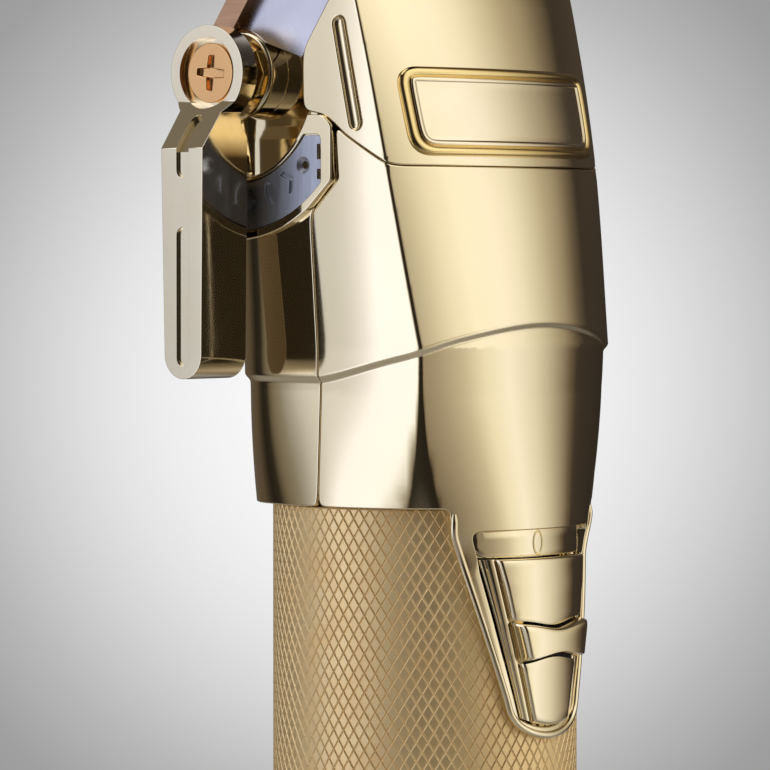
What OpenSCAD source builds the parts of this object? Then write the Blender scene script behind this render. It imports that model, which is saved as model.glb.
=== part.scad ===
// Cordless hair clipper: knurled metal barrel around the battery, polished three-piece
// housing, thumb lever with five stops, tilted blade set and an upright motor.
// The barrel's axis is Z, the face with the switch looks along -Y and the lever is at -X.

/* [Barrel] */
// Outer radius of the knurled barrel
barrel_r = 19.5; // [18.5:0.1:20]
// Wall of the knurled sleeve
barrel_wall = 2; // [1.6:0.1:2.2]
// Height at which the housing meets the barrel
barrel_h = 92; // [90:0.5:98]
// Thickness of the end cap's disc
base_h = 3; // [2.4:0.1:3.6]
// Inner radius of the liner inside the sleeve
liner_in = 15.3; // [14.6:0.1:15.6]
// Radius of the cell
cell_r = 10.6; // [9:0.1:11]
// Length of the cell
cell_len = 70; // [60:1:70]
// Radius of the charging plug's hole
jack_r = 1.75; // [1.5:0.05:2]

/* [Housing] */
// Radius of the housing where it meets the barrel
rim_r = 20.3; // [19.9:0.1:21]
// Wall of the housing
shell_wall = 2; // [1.6:0.1:2.2]
// Height of the ridge above the rim, at the sides
ridge_h = 17.3; // [15:0.1:19]
// Rise of the ridge towards the middle of the face
ridge_rise = 5.7; // [3:0.1:7]
// Depth of the step under the ridge
ridge_step = 0.8; // [0.4:0.1:1]
// Height of the seam under the head cover
seam_h = 43.2; // [41:0.1:45]
// Height of the head's blade end above the pivot
head_rise = 8.7; // [7.6:0.1:9.6]
// Half width at the ridge
ridge_w = 20.2; // [19.8:0.1:21]
// Half width at the seam
seam_w = 21.8; // [21.4:0.1:22.4]
// Half width at the blade end
head_w = 22.3; // [22:0.1:23]
// Depth of the face in front of the axis at the ridge
ridge_front = 19.9; // [19.5:0.1:20.5]
// Depth of the face at the seam
seam_front = 16.6; // [16.2:0.1:17.2]
// Depth of the face at the blade end
head_front = 11.2; // [10.8:0.1:12]
// Depth of the back at the ridge
ridge_back = 18.9; // [18.4:0.1:19.4]
// Depth of the back at the seam
seam_back = 18.6; // [18.2:0.1:19.2]
// Depth of the back at the blade end
head_back = 17.6; // [17:0.1:18]

/* [Switch] */
// Drop of the tongue under the rim
tongue_drop = 29.5; // [28:0.1:32]
// Half width of the tongue at the rim
tongue_w = 13.8; // [13.2:0.1:14.6]
// Length of the sliding button
button_len = 21.4; // [19:0.1:22]
// Travel of the sliding button
button_travel = 3; // [2:0.1:3]

/* [Lever] */
// Height of the lever's pivot above the seam
pivot_rise = 12.1; // [11.4:0.1:12.4]
// Distance of the pivot behind the barrel's axis
pivot_back = 12.8; // [12.4:0.1:13]
// Radius from the pivot to the lever's tip
lever_reach = 38.3; // [35:0.1:42]
// Width of the lever's bar
bar_w = 6.1; // [5.4:0.1:6.6]
// Thickness of the lever's bar
bar_t = 8.5; // [7.5:0.1:9]
// Swing of the lever from closed to open
lever_swing = 43; // [35:1:43]
// Number of stops on the stop plate
stop_count = 5; // [3:1:6]
// Inner radius of the stop plate
stop_in = 14.5; // [14:0.1:15]
// Outer radius of the stop plate
stop_out = 19.8; // [19:0.1:20.2]

/* [Blades] */
// Lean of the blade set towards the face, in degrees
blade_lean = 35; // [33:0.5:36]
// Width of the fixed blade
blade_w = 46; // [44:0.5:47]
// Length of the fixed blade, tips included
blade_len = 30; // [29:0.5:31]
// Thickness of the fixed blade
blade_t = 3; // [2.6:0.1:3.2]
// Number of teeth on the fixed blade
fixed_teeth = 33; // [25:2:41]
// Width of the moving cutter
cutter_w = 40; // [38:0.5:41]
// Thickness of the moving cutter
cutter_t = 2; // [1.6:0.1:2.2]
// Number of teeth on the cutter
cutter_teeth = 23; // [17:2:29]
// Stroke of the cutter to each side of its middle
stroke = 1; // [0.8:0.1:1.4]

/* [Motor] */
// Radius of the motor's can
motor_r = 12.5; // [11:0.1:13]
// Length of the motor's can
motor_len = 33; // [28:0.5:34]
// Radius of the motor's shaft
shaft_r = 1.25; // [1:0.05:1.5]
// Radius of the drive pin
pin_r = 1.3; // [1.1:0.1:1.6]

/* [Hidden] */
$fn = 64;

fit = 0.1;            // clearance of seated parts
play = 0.2;           // clearance of moving parts
running = 0.05;       // radial clearance of shafts
far = 60;             // length of cutting tools

rim_z = barrel_h;
seam_z = rim_z + seam_h;
pivot_h = seam_h + pivot_rise;
pivot_z = rim_z + pivot_h;
head_h = pivot_h + head_rise;
bore_r = barrel_r - barrel_wall;

// ---- numbers that shape the housing's skin ----
cover_rise = 9;       // how far the skin is drawn above the blade end
cover_lean = 3.4;     // how far the face leans back over that height
ridge_over = 3.7;     // height above the side ridge at which the skin has its full width
full_h = ridge_h + ridge_over;
cover_h = head_h + cover_rise;
top_w = head_w + 0.2;
top_front = head_front - cover_lean;
top_back = head_back - 1;
crown_r = [40, 46.4, 52, 54];
skin_h = [full_h, seam_h, head_h, cover_h];
side_line = along_heights([ridge_w, seam_w, head_w, top_w]);
front_line = along_heights([ridge_front, seam_front, head_front, top_front]);
back_line = along_heights([ridge_back, seam_back, head_back, top_back]);
crown_line = along_heights(crown_r);
side_depth = 26;      // depth at which the flat sides would close in front
step_h = 1.8;         // height of the step under the ridge
square_h = seam_h - 7.2;  // height at which the back's corners start to tighten
square_len = 20;
corner_soft = [0.3, 3.5]; // softness of the crease over the face and at the rim
corner_n = [4, 6.5];      // squareness of the back's corners, low and high
front_n = 3.5;            // squareness of the sides towards the face

function along_heights(reach) = [for (i = [0:3]) [skin_h[i], reach[i]]];

function mix(p, q, t) = p + (q - p) * t;
function clip(t) = min(1, max(0, t));
function ease(t) = let (u = clip(t)) u * u * (3 - 2 * u);
function slope(line, i) = let (a = line[max(0, i - 1)], b = line[min(len(line) - 1, i + 1)])
    (b[1] - a[1]) / (b[0] - a[0]);
function section_of(line, h, i = 0) =
    i >= len(line) - 2 || h < line[i + 1][0] ? i : section_of(line, h, i + 1);
function spline(line, h) =
    let (hh = min(line[len(line) - 1][0], max(line[0][0], h)), i = section_of(line, hh),
         a = line[i], b = line[i + 1], w = b[0] - a[0], t = (hh - a[0]) / w)
    (2 * pow(t, 3) - 3 * t * t + 1) * a[1] + (pow(t, 3) - 2 * t * t + t) * w * slope(line, i)
    + (3 * t * t - 2 * pow(t, 3)) * b[1] + (pow(t, 3) - t * t) * w * slope(line, i + 1);

// Distance from the axis to the crowned face, at angle a from the face's middle.
function crown_reach(a, h) =
    let (r = spline(crown_line, h), c = r - spline(front_line, h))
    -c * cos(a) + sqrt(r * r - pow(c * sin(a), 2));
// Distance from the axis to the flat sides and the rounded back.
function side_reach(a, h) =
    let (front = cos(a) > 0, back_n = mix(corner_n[0], corner_n[1], ease((h - square_h) / square_len)),
         n = front ? front_n : back_n, d = front ? side_depth : spline(back_line, h))
    pow(pow(abs(sin(a)) / spline(side_line, h), n) + pow(abs(cos(a)) / d, n), -1 / n);
function smooth_min(p, q, k) = min(p, q) - k / 4 * pow(max(k - abs(p - q), 0) / k, 2);
function crease_angle(h, lo = 30, hi = 89, n = 14) = n == 0 ? (lo + hi) / 2 :
    let (mid = (lo + hi) / 2)
    crown_reach(mid, h) < side_reach(mid, h) ? crease_angle(h, mid, hi, n - 1)
                                             : crease_angle(h, lo, mid, n - 1);
// Height of the ridge above the rim at angle a.
function ridge_at(a) = ridge_h + ridge_rise * pow(clip((cos(a) * 20 + 1) / 21), 1.5);
// Radius of the housing's skin at angle a and height h above the rim, moved in by inset.
function skin(a, h, inset = 0) =
    let (grow = 1 - pow(1 - clip(h / full_h), 1.4), soft = mix(corner_soft[1], corner_soft[0], grow),
         upper = smooth_min(crown_reach(a, h), side_reach(a, h), soft),
         under = ease((ridge_at(a) - h) / step_h) * clip(h / (ridge_h - step_h)))
    mix(rim_r, upper, grow) - ridge_step * under - inset;
function skin_point(a, h, inset = 0) = let (r = skin(a, h, inset)) [r * sin(a), -r * cos(a), rim_z + h];

// Angles of the columns of a ring: a column lies on each crease.
function half_ring(h) = let (c = crease_angle(max(h, full_h)))
    concat([for (i = [0:5]) c * i / 6], [for (i = [0:4]) mix(c, 90, i / 5)],
           [for (i = [0:6]) 90 + 90 * i / 7]);
function ring_angles(h) = let (half = half_ring(h), n = len(half))
    concat(half, [180], [for (i = [n - 1:-1:1]) -half[i]]);
ring_n = len(ring_angles(0));

// Heights of the rows: two of them follow the ridge.
function row_height(row, a, h0, h1) = let (rows = 5, top = ridge_at(a), foot = top - step_h)
    h0 >= ridge_h + ridge_rise ? mix(h0, h1, row / 14) :
    row <= rows ? mix(h0, foot, row / rows) :
    row == rows + 1 ? mix(foot, top, 0.5) : mix(top, h1, (row - rows - 2) / 7);

// A closed wall of the housing from height h0 to h1 above the rim.
module skin_wall(h0, h1, outer = 0, inner = shell_wall) {
    rows = 14;
    n = ring_n;
    function layer(inset) = [for (row = [0:rows], i = [0:n - 1])
        let (guess = row_height(row, ring_angles(h0)[i], h0, h1), a = ring_angles(guess)[i])
        skin_point(a, row_height(row, a, h0, h1), inset)];
    points = concat(layer(outer), layer(inner));
    m = n * (rows + 1);
    function at(row, i, base) = base + row * n + (i + n) % n;
    faces = concat(
        [for (row = [0:rows - 1], i = [0:n - 1]) [at(row, i, 0), at(row + 1, i, 0), at(row + 1, i + 1, 0)]],
        [for (row = [0:rows - 1], i = [0:n - 1]) [at(row, i, 0), at(row + 1, i + 1, 0), at(row, i + 1, 0)]],
        [for (row = [0:rows - 1], i = [0:n - 1]) [at(row, i, m), at(row + 1, i + 1, m), at(row + 1, i, m)]],
        [for (row = [0:rows - 1], i = [0:n - 1]) [at(row, i, m), at(row, i + 1, m), at(row + 1, i + 1, m)]],
        [for (i = [0:n - 1]) [at(0, i, 0), at(0, i + 1, 0), at(0, i + 1, m)]],
        [for (i = [0:n - 1]) [at(0, i, 0), at(0, i + 1, m), at(0, i, m)]],
        [for (i = [0:n - 1]) [at(rows, i, 0), at(rows, i + 1, m), at(rows, i + 1, 0)]],
        [for (i = [0:n - 1]) [at(rows, i, 0), at(rows, i, m), at(rows, i + 1, m)]]);
    polyhedron(points, faces);
}

// ---- helpers ----
// A shape drawn as [y, z] and extruded along X, from x0 to x1.
module side_extrude(x0, x1) {
    translate([x0, 0, 0])
        rotate([90, 0, 90])
            linear_extrude(x1 - x0) children();
}
// A shape drawn as [x, z] and extruded along Y, from y0 to y1.
module front_extrude(y0, y1) {
    translate([0, y1, 0])
        rotate([90, 0, 0])
            linear_extrude(y1 - y0) children();
}
module tube(r, hole, h) {
    difference() {
        cylinder(r = r, h = h);
        translate([0, 0, -1])
            cylinder(r = hole, h = h + 2);
    }
}
// A cylinder along X from x0 to x1, on the lever's axis.
module on_pivot(x0, x1) {
    translate([x0, pivot_back, pivot_z])
        rotate([0, 90, 0])
            linear_extrude(x1 - x0) children();
}

// ---- the blade set's own frame: v runs along the blade to the tips, n from the skin inwards ----
blade_drop = 2.5;     // the blade's foot under the blade end
blade_back = 1.8;     // the blade's foot in front of the back's skin
blade_y = head_back - blade_back;
blade_z = rim_z + head_h - blade_drop;
function on_blade(v, n) = [blade_y - v * sin(blade_lean) - n * cos(blade_lean),
                           blade_z + v * cos(blade_lean) - n * sin(blade_lean)];
function blade_v(y, z) = (blade_y - y) * sin(blade_lean) + (z - blade_z) * cos(blade_lean);
function blade_n(y, z) = (blade_y - y) * cos(blade_lean) - (z - blade_z) * sin(blade_lean);
module blade_side(x0, x1, points) {
    side_extrude(x0, x1)
        polygon([for (p = points) on_blade(p[0], p[1])]);
}
// Moves a shape drawn flat, with X across, Y along v and Z along n, onto the blade.
module blade_plane(n = 0) {
    p = on_blade(0, n);
    translate([0, p[0], p[1]])
        rotate([90 + blade_lean, 0, 0])
            children();
}

// ---- the housing: side outlines of its three pieces, as [y, z] ----
part_y = 1;           // parting plane between front and rear
cover_y = 1.8;        // where the cover's lower edge turns up
notch_y = -3.4;       // how far the rear piece reaches forward around the stop plate
notch_h = [-5.2, -1.5, 5.5]; // where it does so, above the seam
seam_rise = 0.2;      // the seam itself, and the steps by which it climbs towards the sides
seam_steps = [[-11.5, 0.4], [-4.9, 4.2]];
seam_hook = [[-1.8, 6.8], [cover_y, 7.1]];
cover_foot = [pivot_rise + 1.3, pivot_rise + 2.7]; // top of the rear piece, foot of the cover's edge
saddle = [2, 1];      // the rear piece's end behind and under the blade's foot
kerf = 0.05;
mouth_n = 13.5;       // the cover's slanted edge, measured from the blade
mouth_end = on_blade(blade_len, mouth_n);
function over_seam(line) = [for (p = line) [p[0], seam_z + p[1]]];
parting = [[part_y, rim_z - 1], [part_y, seam_z + notch_h[0]], [notch_y, seam_z + notch_h[1]],
           [notch_y, seam_z + notch_h[2]]];
seam_front_end = [-far, seam_z + seam_rise];

module front_region() {
    offset(delta = -kerf)
        polygon(concat([[-far, rim_z - 1]], parting, over_seam([seam_steps[1], seam_steps[0]]),
                       [seam_front_end]));
}
module rear_region() {
    offset(delta = -kerf)
        polygon(concat([[far, rim_z - 1]], parting, over_seam(seam_hook),
                       [[cover_y, seam_z + cover_foot[0]], [blade_y - saddle[0], blade_z - saddle[1]],
                        [far, blade_z - saddle[1]]]));
}
module cover_region() {
    offset(delta = -kerf)
        polygon(concat([seam_front_end], over_seam(seam_steps), over_seam(seam_hook),
                       [[cover_y, seam_z + cover_foot[1]], mouth_end, [-far, mouth_end[1]]]));
}
module within_region() {
    intersection() {
        children(0);
        side_extrude(-far, far) children(1);
    }
}
// Depth at which the middle of the wall lies, at x and height h, in front or behind.
function wall_angle(x, h, lo, hi, n = 12) = n == 0 ? (lo + hi) / 2 :
    let (mid = (lo + hi) / 2, front = hi <= 90,
         wide = skin(mid, h, shell_wall / 2) * sin(mid) > x)
    wide == front ? wall_angle(x, h, lo, mid, n - 1) : wall_angle(x, h, mid, hi, n - 1);
function wall_y(x, h, back) =
    let (a = back ? wall_angle(x, h, 95, 180) : wall_angle(x, h, 0, 80))
    -skin(a, h, shell_wall / 2) * cos(a);

// A rib across the housing at height h, open around a round part.
module rib(h, thickness, hole) {
    translate([0, 0, rim_z + h])
        difference() {
            linear_extrude(thickness)
                polygon([for (a = [0:8:352]) skin(a, h, shell_wall / 2) * [sin(a), -cos(a)]]);
            translate([0, motor_y, -1])
                cylinder(r = hole, h = thickness + 2);
        }
}

module motor_rib() {
    rib(motor_z - rim_z + rib_over, rib_t, motor_r + cushion_t + fit);
}

// ---- screws that hold the front and rear pieces together ----
screw_r = 1.2;
screw_head_r = 2.3;
boss_r = 3;
boss_lap = 3;         // the bosses are drawn past the parting plane and cut off there
screw_drop = 9.2;     // the upper pair under the seam
shell_screw_spots = [[13.6, 12], [17, seam_h - screw_drop]];
head_seat = [9.5, 12.5];
screw_end = -5;
module each_shell_screw() {
    for (i = [0, 1], s = [-1, 1])
        let ($x = shell_screw_spots[i][0], $h = shell_screw_spots[i][1], $seat = head_seat[i])
        translate([s * $x, 0, rim_z + $h])
            children();
}
head_t = 1.6;         // thickness of the screws' heads
slot_len = 2.8;
slot_w = 0.5;
slot_depth = 0.7;
// The cross in a screw's head, sunk from the head's face at z = 0 upwards.
module cross_slot() {
    for (turn = [0, 90])
        rotate(turn)
            translate([-slot_len / 2, -slot_w / 2, 0])
                linear_extrude(2 * slot_depth, center = true) square([slot_len, slot_w]);
}
module along_y(r, y0, y1) {
    translate([0, y1, 0])
        rotate([90, 0, 0])
            cylinder(r = r, h = y1 - y0);
}

// ---- the stop plate and the lever's axis ----
plate_x = 22.3;       // outer face of the stop plate, from the middle
plate_t = 1.2;
frame_x = 22.9;       // outer face of the raised frame around it
frame_edge = 1.2;
arc_margin = 7;       // how far the plate runs past the first and last stop
stop_r = stop_in + 2; // radius on which the stops lie
stop_angles = [for (i = [0:stop_count - 1]) lever_swing * i / (stop_count - 1)];
ball_r = 1.2;
dimple_r = 0.8;
dimple_depth = 0.5;
recess_x = 21;        // where the pocket's walls meet the housing's wall
pocket_x = 18.6;      // floor of the pocket around the pivot
boss_x = 21.9;        // outer face of the shaft's boss
boss_wall = 1.5;
pocket_wall = 3;      // wall left behind the pocket
frame_ends = [3, 1];  // how far the frame runs past the plate's two ends, in degrees
seat_turn = 0.4;      // freedom of the plate in its frame, in degrees

// A ring sector about the pivot, from angle a0 to a1 off straight down, drawn for on_pivot.
module sector(r0, r1, a0, a1) {
    difference() {
        intersection() {
            circle(r = r1);
            polygon(concat([[0, 0]], [for (i = [0:4]) let (a = mix(a0, a1, i / 4))
                2 * r1 * [cos(a), -sin(a)]]));
        }
        circle(r = r0);
    }
}

bush_r = 3.9;
bush_in = 17;         // inner end of the bush, from the middle
lever_shaft_r = 2.6;
lever_in = 24.9;      // inner face of the lever's ring
bar_in = 23.7;        // inner face of the lever's bar
bar_out = bar_in + bar_t;
crank_r = 2;          // throw of the lever's crank
crank_pin_r = 1;
arm_x = [12.6, 14.6]; // the carriage arm's sides

// ---- tongue and switch, drawn as [x, z] under the rim ----
link_w = 6;           // the link from the button to the switch inside
link_y = 17.2;
link_t = 1.1;
link_foot = -12;
link_foot_h = 4;
tongue_in = bore_r + fit;
tongue_end = 5.3;
tongue_end_w = 8.3;
tongue_top = [0.4, -2.4]; // the tongue's upper edge, and where its sides begin to close in
switch_top = 5.1;     // the button's upper end, under the rim
switch_w0 = 10.6;
switch_w1 = 5.2;
recess_r = barrel_r - 0.6;
tongue_gap = 0.15;
band_over = 0.4;      // rise of the band with the zero
slot_play = [0.3, 0.4];
module tongue_outline(grow = 0) {
    z1 = -tongue_drop + tongue_end;
    w = tongue_w + grow;
    polygon(concat([[w, tongue_top[0] + grow], [w, tongue_top[1]]],
                   [for (t = [0:15:180]) [(tongue_end_w + grow) * cos(t), z1 - (tongue_end + grow) * sin(t)]],
                   [[-w, tongue_top[1]], [-w, tongue_top[0] + grow]]));
}
module wedge_outline(w0, w1, z0, z1) {
    polygon([[w0, z0], [w1, z1], [-w1, z1], [-w0, z0]]);
}
module on_barrel(r0, r1) {
    intersection() {
        translate([0, 0, rim_z])
            front_extrude(-far, 0) children();
        translate([0, 0, rim_z - barrel_h / 2])
            tube(r1, r0, barrel_h);
    }
}

// ---- barrel ----
liner_r = bore_r - fit;
liner_over = 4.5;     // the liner stands above the rim, inside the housing
liner_slot = [8, 1.5]; // its opening for the switch: width, and depth under the link's foot
edge_c = 0.7;         // bevel at the barrel's ends
base_c = 0.9;
spigot_h = 5;
spigot_t = 1.4;
cell_z = base_h + 14;
cell_top = cell_z + cell_len;
ring_cap = 1.6;       // roof of the upper ring, over the cell
ring_grip = 6;        // how much of the cell each ring holds
cell_hole = [9, 7];     // openings of the lower and the upper ring
cell_c = 0.5;
cell_button_r = 4;
tab_t = 0.2;
tab_w = 5;
module grip_sleeve() color([0.8, 0.58, 0.42]) {
    in = barrel_r - edge_c;
    difference() {
        rotate_extrude($fn = 128)
            polygon([[bore_r, base_h], [in, base_h], [barrel_r, base_h + edge_c],
                     [barrel_r, rim_z - edge_c], [in, rim_z], [bore_r, rim_z]]);
        translate([0, 0, rim_z])
            front_extrude(-far, 0) tongue_outline(grow = tongue_gap);
    }
}
module barrel_liner() color([0.15, 0.15, 0.16]) {
    difference() {
        translate([0, 0, base_h + spigot_h])
            tube(liner_r, liner_in, rim_z + liner_over - base_h - spigot_h);
        translate([-liner_slot[0] / 2, -far, rim_z + link_foot - liner_slot[1]])
            cube([liner_slot[0], far, far]);
    }
}
board_seat = base_h + 8.6;
stud_r = 1.8;         // studs under the charging board
stud_in = 3;
charge_board_t = 1.4;
chip_h = 1.3;
contact_x = 9.5;
contact_r = 1.8;
light_y = -8;
light_r = 1.1;
jack_body_r = 3.2;
jack_y = 9;
jack_sink = 0.3;      // how far the jack's face lies inside the cap
jack_lip = [1, 1.4];  // its collar over the cap: width and height
jack_pin_r = 0.55;
jack_depth = 7.4;
contact_sink = 0.25;
contact_over = 0.6;
light_sink = 0.15;
module end_cap() color([0.86, 0.72, 0.5]) {
    top = base_h + spigot_h;
    hole = liner_in - spigot_t;
    difference() {
        union() {
            rotate_extrude($fn = 128)
                polygon([[0, 0], [barrel_r - base_c, 0], [barrel_r, base_c], [barrel_r, base_h],
                         [liner_r, base_h], [liner_r, top], [hole, top], [hole, base_h], [0, base_h]]);
            for (a = [30, 150, 270])
                rotate(a)
                    translate([liner_in - stud_in, 0, base_h - 0.1])
                        cylinder(r = stud_r, h = board_seat - base_h + 0.1);
        }
        translate([0, jack_y, -1])
            cylinder(r = jack_body_r + fit, h = base_h + 2);
        for (s = [-1, 1])
            translate([s * contact_x, 0, -1])
                cylinder(r = contact_r + fit, h = base_h + 2);
        translate([0, light_y, -1])
            cylinder(r = light_r + fit, h = base_h + 2);
    }
}
module charge_jack() color([0.12, 0.12, 0.13]) {
    translate([0, jack_y, jack_sink])
        difference() {
            union() {
                cylinder(r = jack_body_r, h = board_seat - jack_sink);
                translate([0, 0, base_h + fit - jack_sink])
                    cylinder(r = jack_body_r + jack_lip[0], h = jack_lip[1]);
            }
            difference() {
                translate([0, 0, -1])
                    cylinder(r = jack_r, h = jack_depth + 1);
                cylinder(r = jack_pin_r, h = jack_depth + 1);
            }
        }
}
module charge_contacts() color([0.83, 0.68, 0.35]) {
    for (s = [-1, 1])
        translate([s * contact_x, 0, contact_sink]) {
            cylinder(r = contact_r, h = base_h + contact_over);
            translate([0, 0, base_h])
                cylinder(r = contact_r - 0.8, h = board_seat - base_h - contact_sink);
        }
}
module status_light() color([0.75, 0.85, 0.95]) {
    translate([0, light_y, light_sink])
        cylinder(r = light_r, h = board_seat - light_sink);
}
module charge_board() color([0.1, 0.35, 0.2]) {
    translate([0, 0, board_seat]) {
        cylinder(r = liner_in - fit - play, h = charge_board_t);
        translate([-5, 1.5, charge_board_t - 0.1])
            cube([10, 5, chip_h]);
    }
}
module battery_cell() color([0.16, 0.3, 0.5]) {
    translate([0, 0, cell_z])
        rotate_extrude()
            polygon([[0, 0], [cell_r - cell_c, 0], [cell_r, cell_c], [cell_r, cell_len - 3 * cell_c],
                     [cell_r - cell_c, cell_len - 2 * cell_c], [cell_button_r, cell_len - 2 * cell_c],
                     [cell_button_r, cell_len - tab_t], [0, cell_len - tab_t]]);
}
module cell_rings() color([0.85, 0.85, 0.82]) {
    out = liner_in - fit;
    low = board_seat + charge_board_t;
    in = cell_r + fit;
    roof = cell_top - 2 * cell_c + fit;
    rotate_extrude()
        polygon([[cell_hole[0], low], [out, low], [out, cell_z + ring_grip], [in, cell_z + ring_grip],
                 [in, cell_z], [cell_hole[0], cell_z]]);
    rotate_extrude()
        polygon([[in, cell_top - ring_grip], [out, cell_top - ring_grip], [out, cell_top + ring_cap],
                 [cell_hole[1], cell_top + ring_cap], [cell_hole[1], roof], [in, roof]]);
}
module cell_tabs() color([0.72, 0.73, 0.75]) {
    foot = board_seat + charge_board_t + fit;
    translate([-tab_w / 2, -tab_w, cell_top - tab_t])
        cube([tab_w, 2 * tab_w, tab_t]);
    translate([-tab_w / 2, tab_w - tab_t, cell_top - tab_t])
        cube([tab_w, tab_t, ring_cap + post_h]);
    translate([-tab_w / 2, -cell_hole[1], cell_z - tab_t])
        cube([tab_w, 2 * cell_hole[1], tab_t]);
    translate([-tab_w / 2, -cell_hole[1], foot])
        cube([tab_w, tab_t, cell_z - foot]);
}

// ---- housing ----
cap_h = 4;
motor_y = 2.4;
motor_rise = 3.7;     // the can's upper end above the pivot
motor_top = pivot_z + motor_rise;
motor_z = motor_top - motor_len;
cushion_h = 5;
cushion_t = 1.2;
rib_over = 3;         // the rib about the cushion: height above the can's lower end
rib_t = 3;
front_over = 7;       // how far the front piece reaches above the seam beside the cover
tongue_over = 0.05;
module shell_bosses(back) {
    each_shell_screw() {
        end = wall_y($x + boss_r, $h - boss_r, back);
        if (back)
            along_y(boss_r, part_y - boss_lap, end);
        else
            along_y(boss_r, end, part_y + boss_lap);
    }
}
band_top = -switch_top + button_travel;
slot_w2 = link_w / 2 + slot_play[0];
recess_play = [1.1, 0.1]; // room beside the button at its upper and lower end
band_w = [0.6, -0.4];
module front_shell() color([0.87, 0.78, 0.62]) {
    difference() {
        union() {
            within_region() {
                union() {
                    skin_wall(0, seam_h + front_over);
                    motor_rib();
                    shell_bosses(false);
                }
                front_region();
            }
            on_barrel(tongue_in, rim_r + tongue_over) tongue_outline();
        }
        each_shell_screw()
            along_y(screw_r, screw_end, part_y + boss_lap);
        on_barrel(recess_r, far)
            wedge_outline(switch_w0 + recess_play[0], switch_w1 + recess_play[1],
                          band_top + slot_play[0], -switch_top - button_len - play);
        on_barrel(liner_in / 2, far)
            translate([-slot_w2, link_foot - slot_play[1]])
                square([2 * slot_w2, link_foot_h + button_travel + 2 * slot_play[1]]);
        translate([0, 0, rim_z])
            front_extrude(-link_y - slot_play[0], 0)
                translate([-slot_w2, -1])
                    square([2 * slot_w2, 3]);
    }
    // the band with the zero, at the bottom of the button's recess
    on_barrel(recess_r - 0.1, recess_r + band_over)
        wedge_outline(switch_w0 + band_w[0], switch_w0 + band_w[1], band_top, -switch_top + slot_play[0]);
}
// Everything about the pivot that the rear piece carries: the raised frame of the stop plate,
// the pocket inside it and the barrel-shaped boss of the lever's shaft.
module pivot_pad() {
    within_region() {
        union() {
            on_pivot(-frame_x, -pocket_x)
                sector(stop_in - frame_edge, stop_out + frame_edge,
                       -arc_margin - frame_ends[0], lever_swing + arc_margin + frame_ends[1]);
            intersection() {
                on_pivot(-recess_x, -bush_in) circle(r = stop_in);
                before_back(pocket_wall);
            }
        }
        rear_region();
    }
}
// Everything in front of the housing's back wall, by the given thickness.
module before_back(thickness) {
    translate([-far, -far, rim_z])
        cube([2 * far, far + seam_back - thickness, 2 * far]);
}
module rear_shell() color([0.87, 0.78, 0.62]) {
    difference() {
        union() {
            difference() {
                union() {
                    within_region() {
                        union() {
                            skin_wall(0, head_h);
                            motor_rib();
                            shell_bosses(true);
                        }
                        rear_region();
                    }
                    pivot_pad();
                }
                intersection() {
                    on_pivot(-far, -pocket_x) circle(r = stop_in - frame_edge);
                    before_back(pocket_wall + frame_edge);
                }
            }
            on_pivot(-boss_x, -bush_in) circle(r = bush_r + boss_wall);
        }
        on_pivot(-far, -plate_x + plate_t)
            sector(stop_in - fit, stop_out + fit,
                   -arc_margin - seat_turn, lever_swing + arc_margin + seat_turn);
        on_pivot(-far, -bush_in + 1) circle(r = bush_r + fit);
        each_shell_screw() {
            along_y(screw_r + fit, 0, far);
            along_y(screw_head_r + 0.2, $seat, far);
        }
    }
}
module shell_screws() color([0.55, 0.56, 0.58]) {
    each_shell_screw() {
        difference() {
            union() {
                along_y(screw_r, screw_end, $seat + 0.5);
                along_y(screw_head_r, $seat, $seat + head_t);
            }
            translate([0, $seat + head_t, 0])
                rotate([90, 0, 0])
                    cross_slot();
        }
    }
}

// The name plate stands on the cover's face, with rounded corners and a raised frame.
name_foot = seam_h + 1.6;
name_tall = 11.4;
name_w = [15.6, 17.7];
name_corner = 1.6;
name_edge = 1;        // width of the frame
name_panel = 0.4;     // height of the panel inside it, over the skin
module name_outline(inset = 0) {
    offset(r = name_corner)
        offset(delta = -name_corner - inset)
            wedge_outline(name_w[1], name_w[0], name_foot + name_tall, name_foot);
}
module on_face(outer, inner, inset = 0) {
    intersection() {
        skin_wall(name_foot - name_edge, name_foot + name_tall + name_edge, outer, inner);
        translate([0, 0, rim_z])
            front_extrude(-far, -2) name_outline(inset);
    }
}
name_rise = 0.8;
name_sink = 0.5;
module name_plate() color([0.9, 0.78, 0.55]) {
    difference() {
        on_face(-name_rise, name_sink);
        on_face(-name_rise - far / 20, -name_panel, name_edge);
    }
}
groove_line = [[-4, head_h - 1.6], [-6.9, seam_h + 4.6]];
groove_r = 1.05;
groove_floor = head_w - 1.2;
module head_cover() color([0.87, 0.78, 0.62]) {
    difference() {
        within_region() {
            skin_wall(seam_h + fit, cover_h);
            cover_region();
        }
        on_face(-name_rise - far / 20, name_sink + fit / 5, -fit);
        for (s = [-1, 1])
            translate([s * (groove_floor + far / 2), 0, rim_z])
                side_extrude(-far / 2, far / 2)
                    hull() for (p = groove_line) translate(p) circle(r = groove_r, $fn = 24);
    }
}

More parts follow.
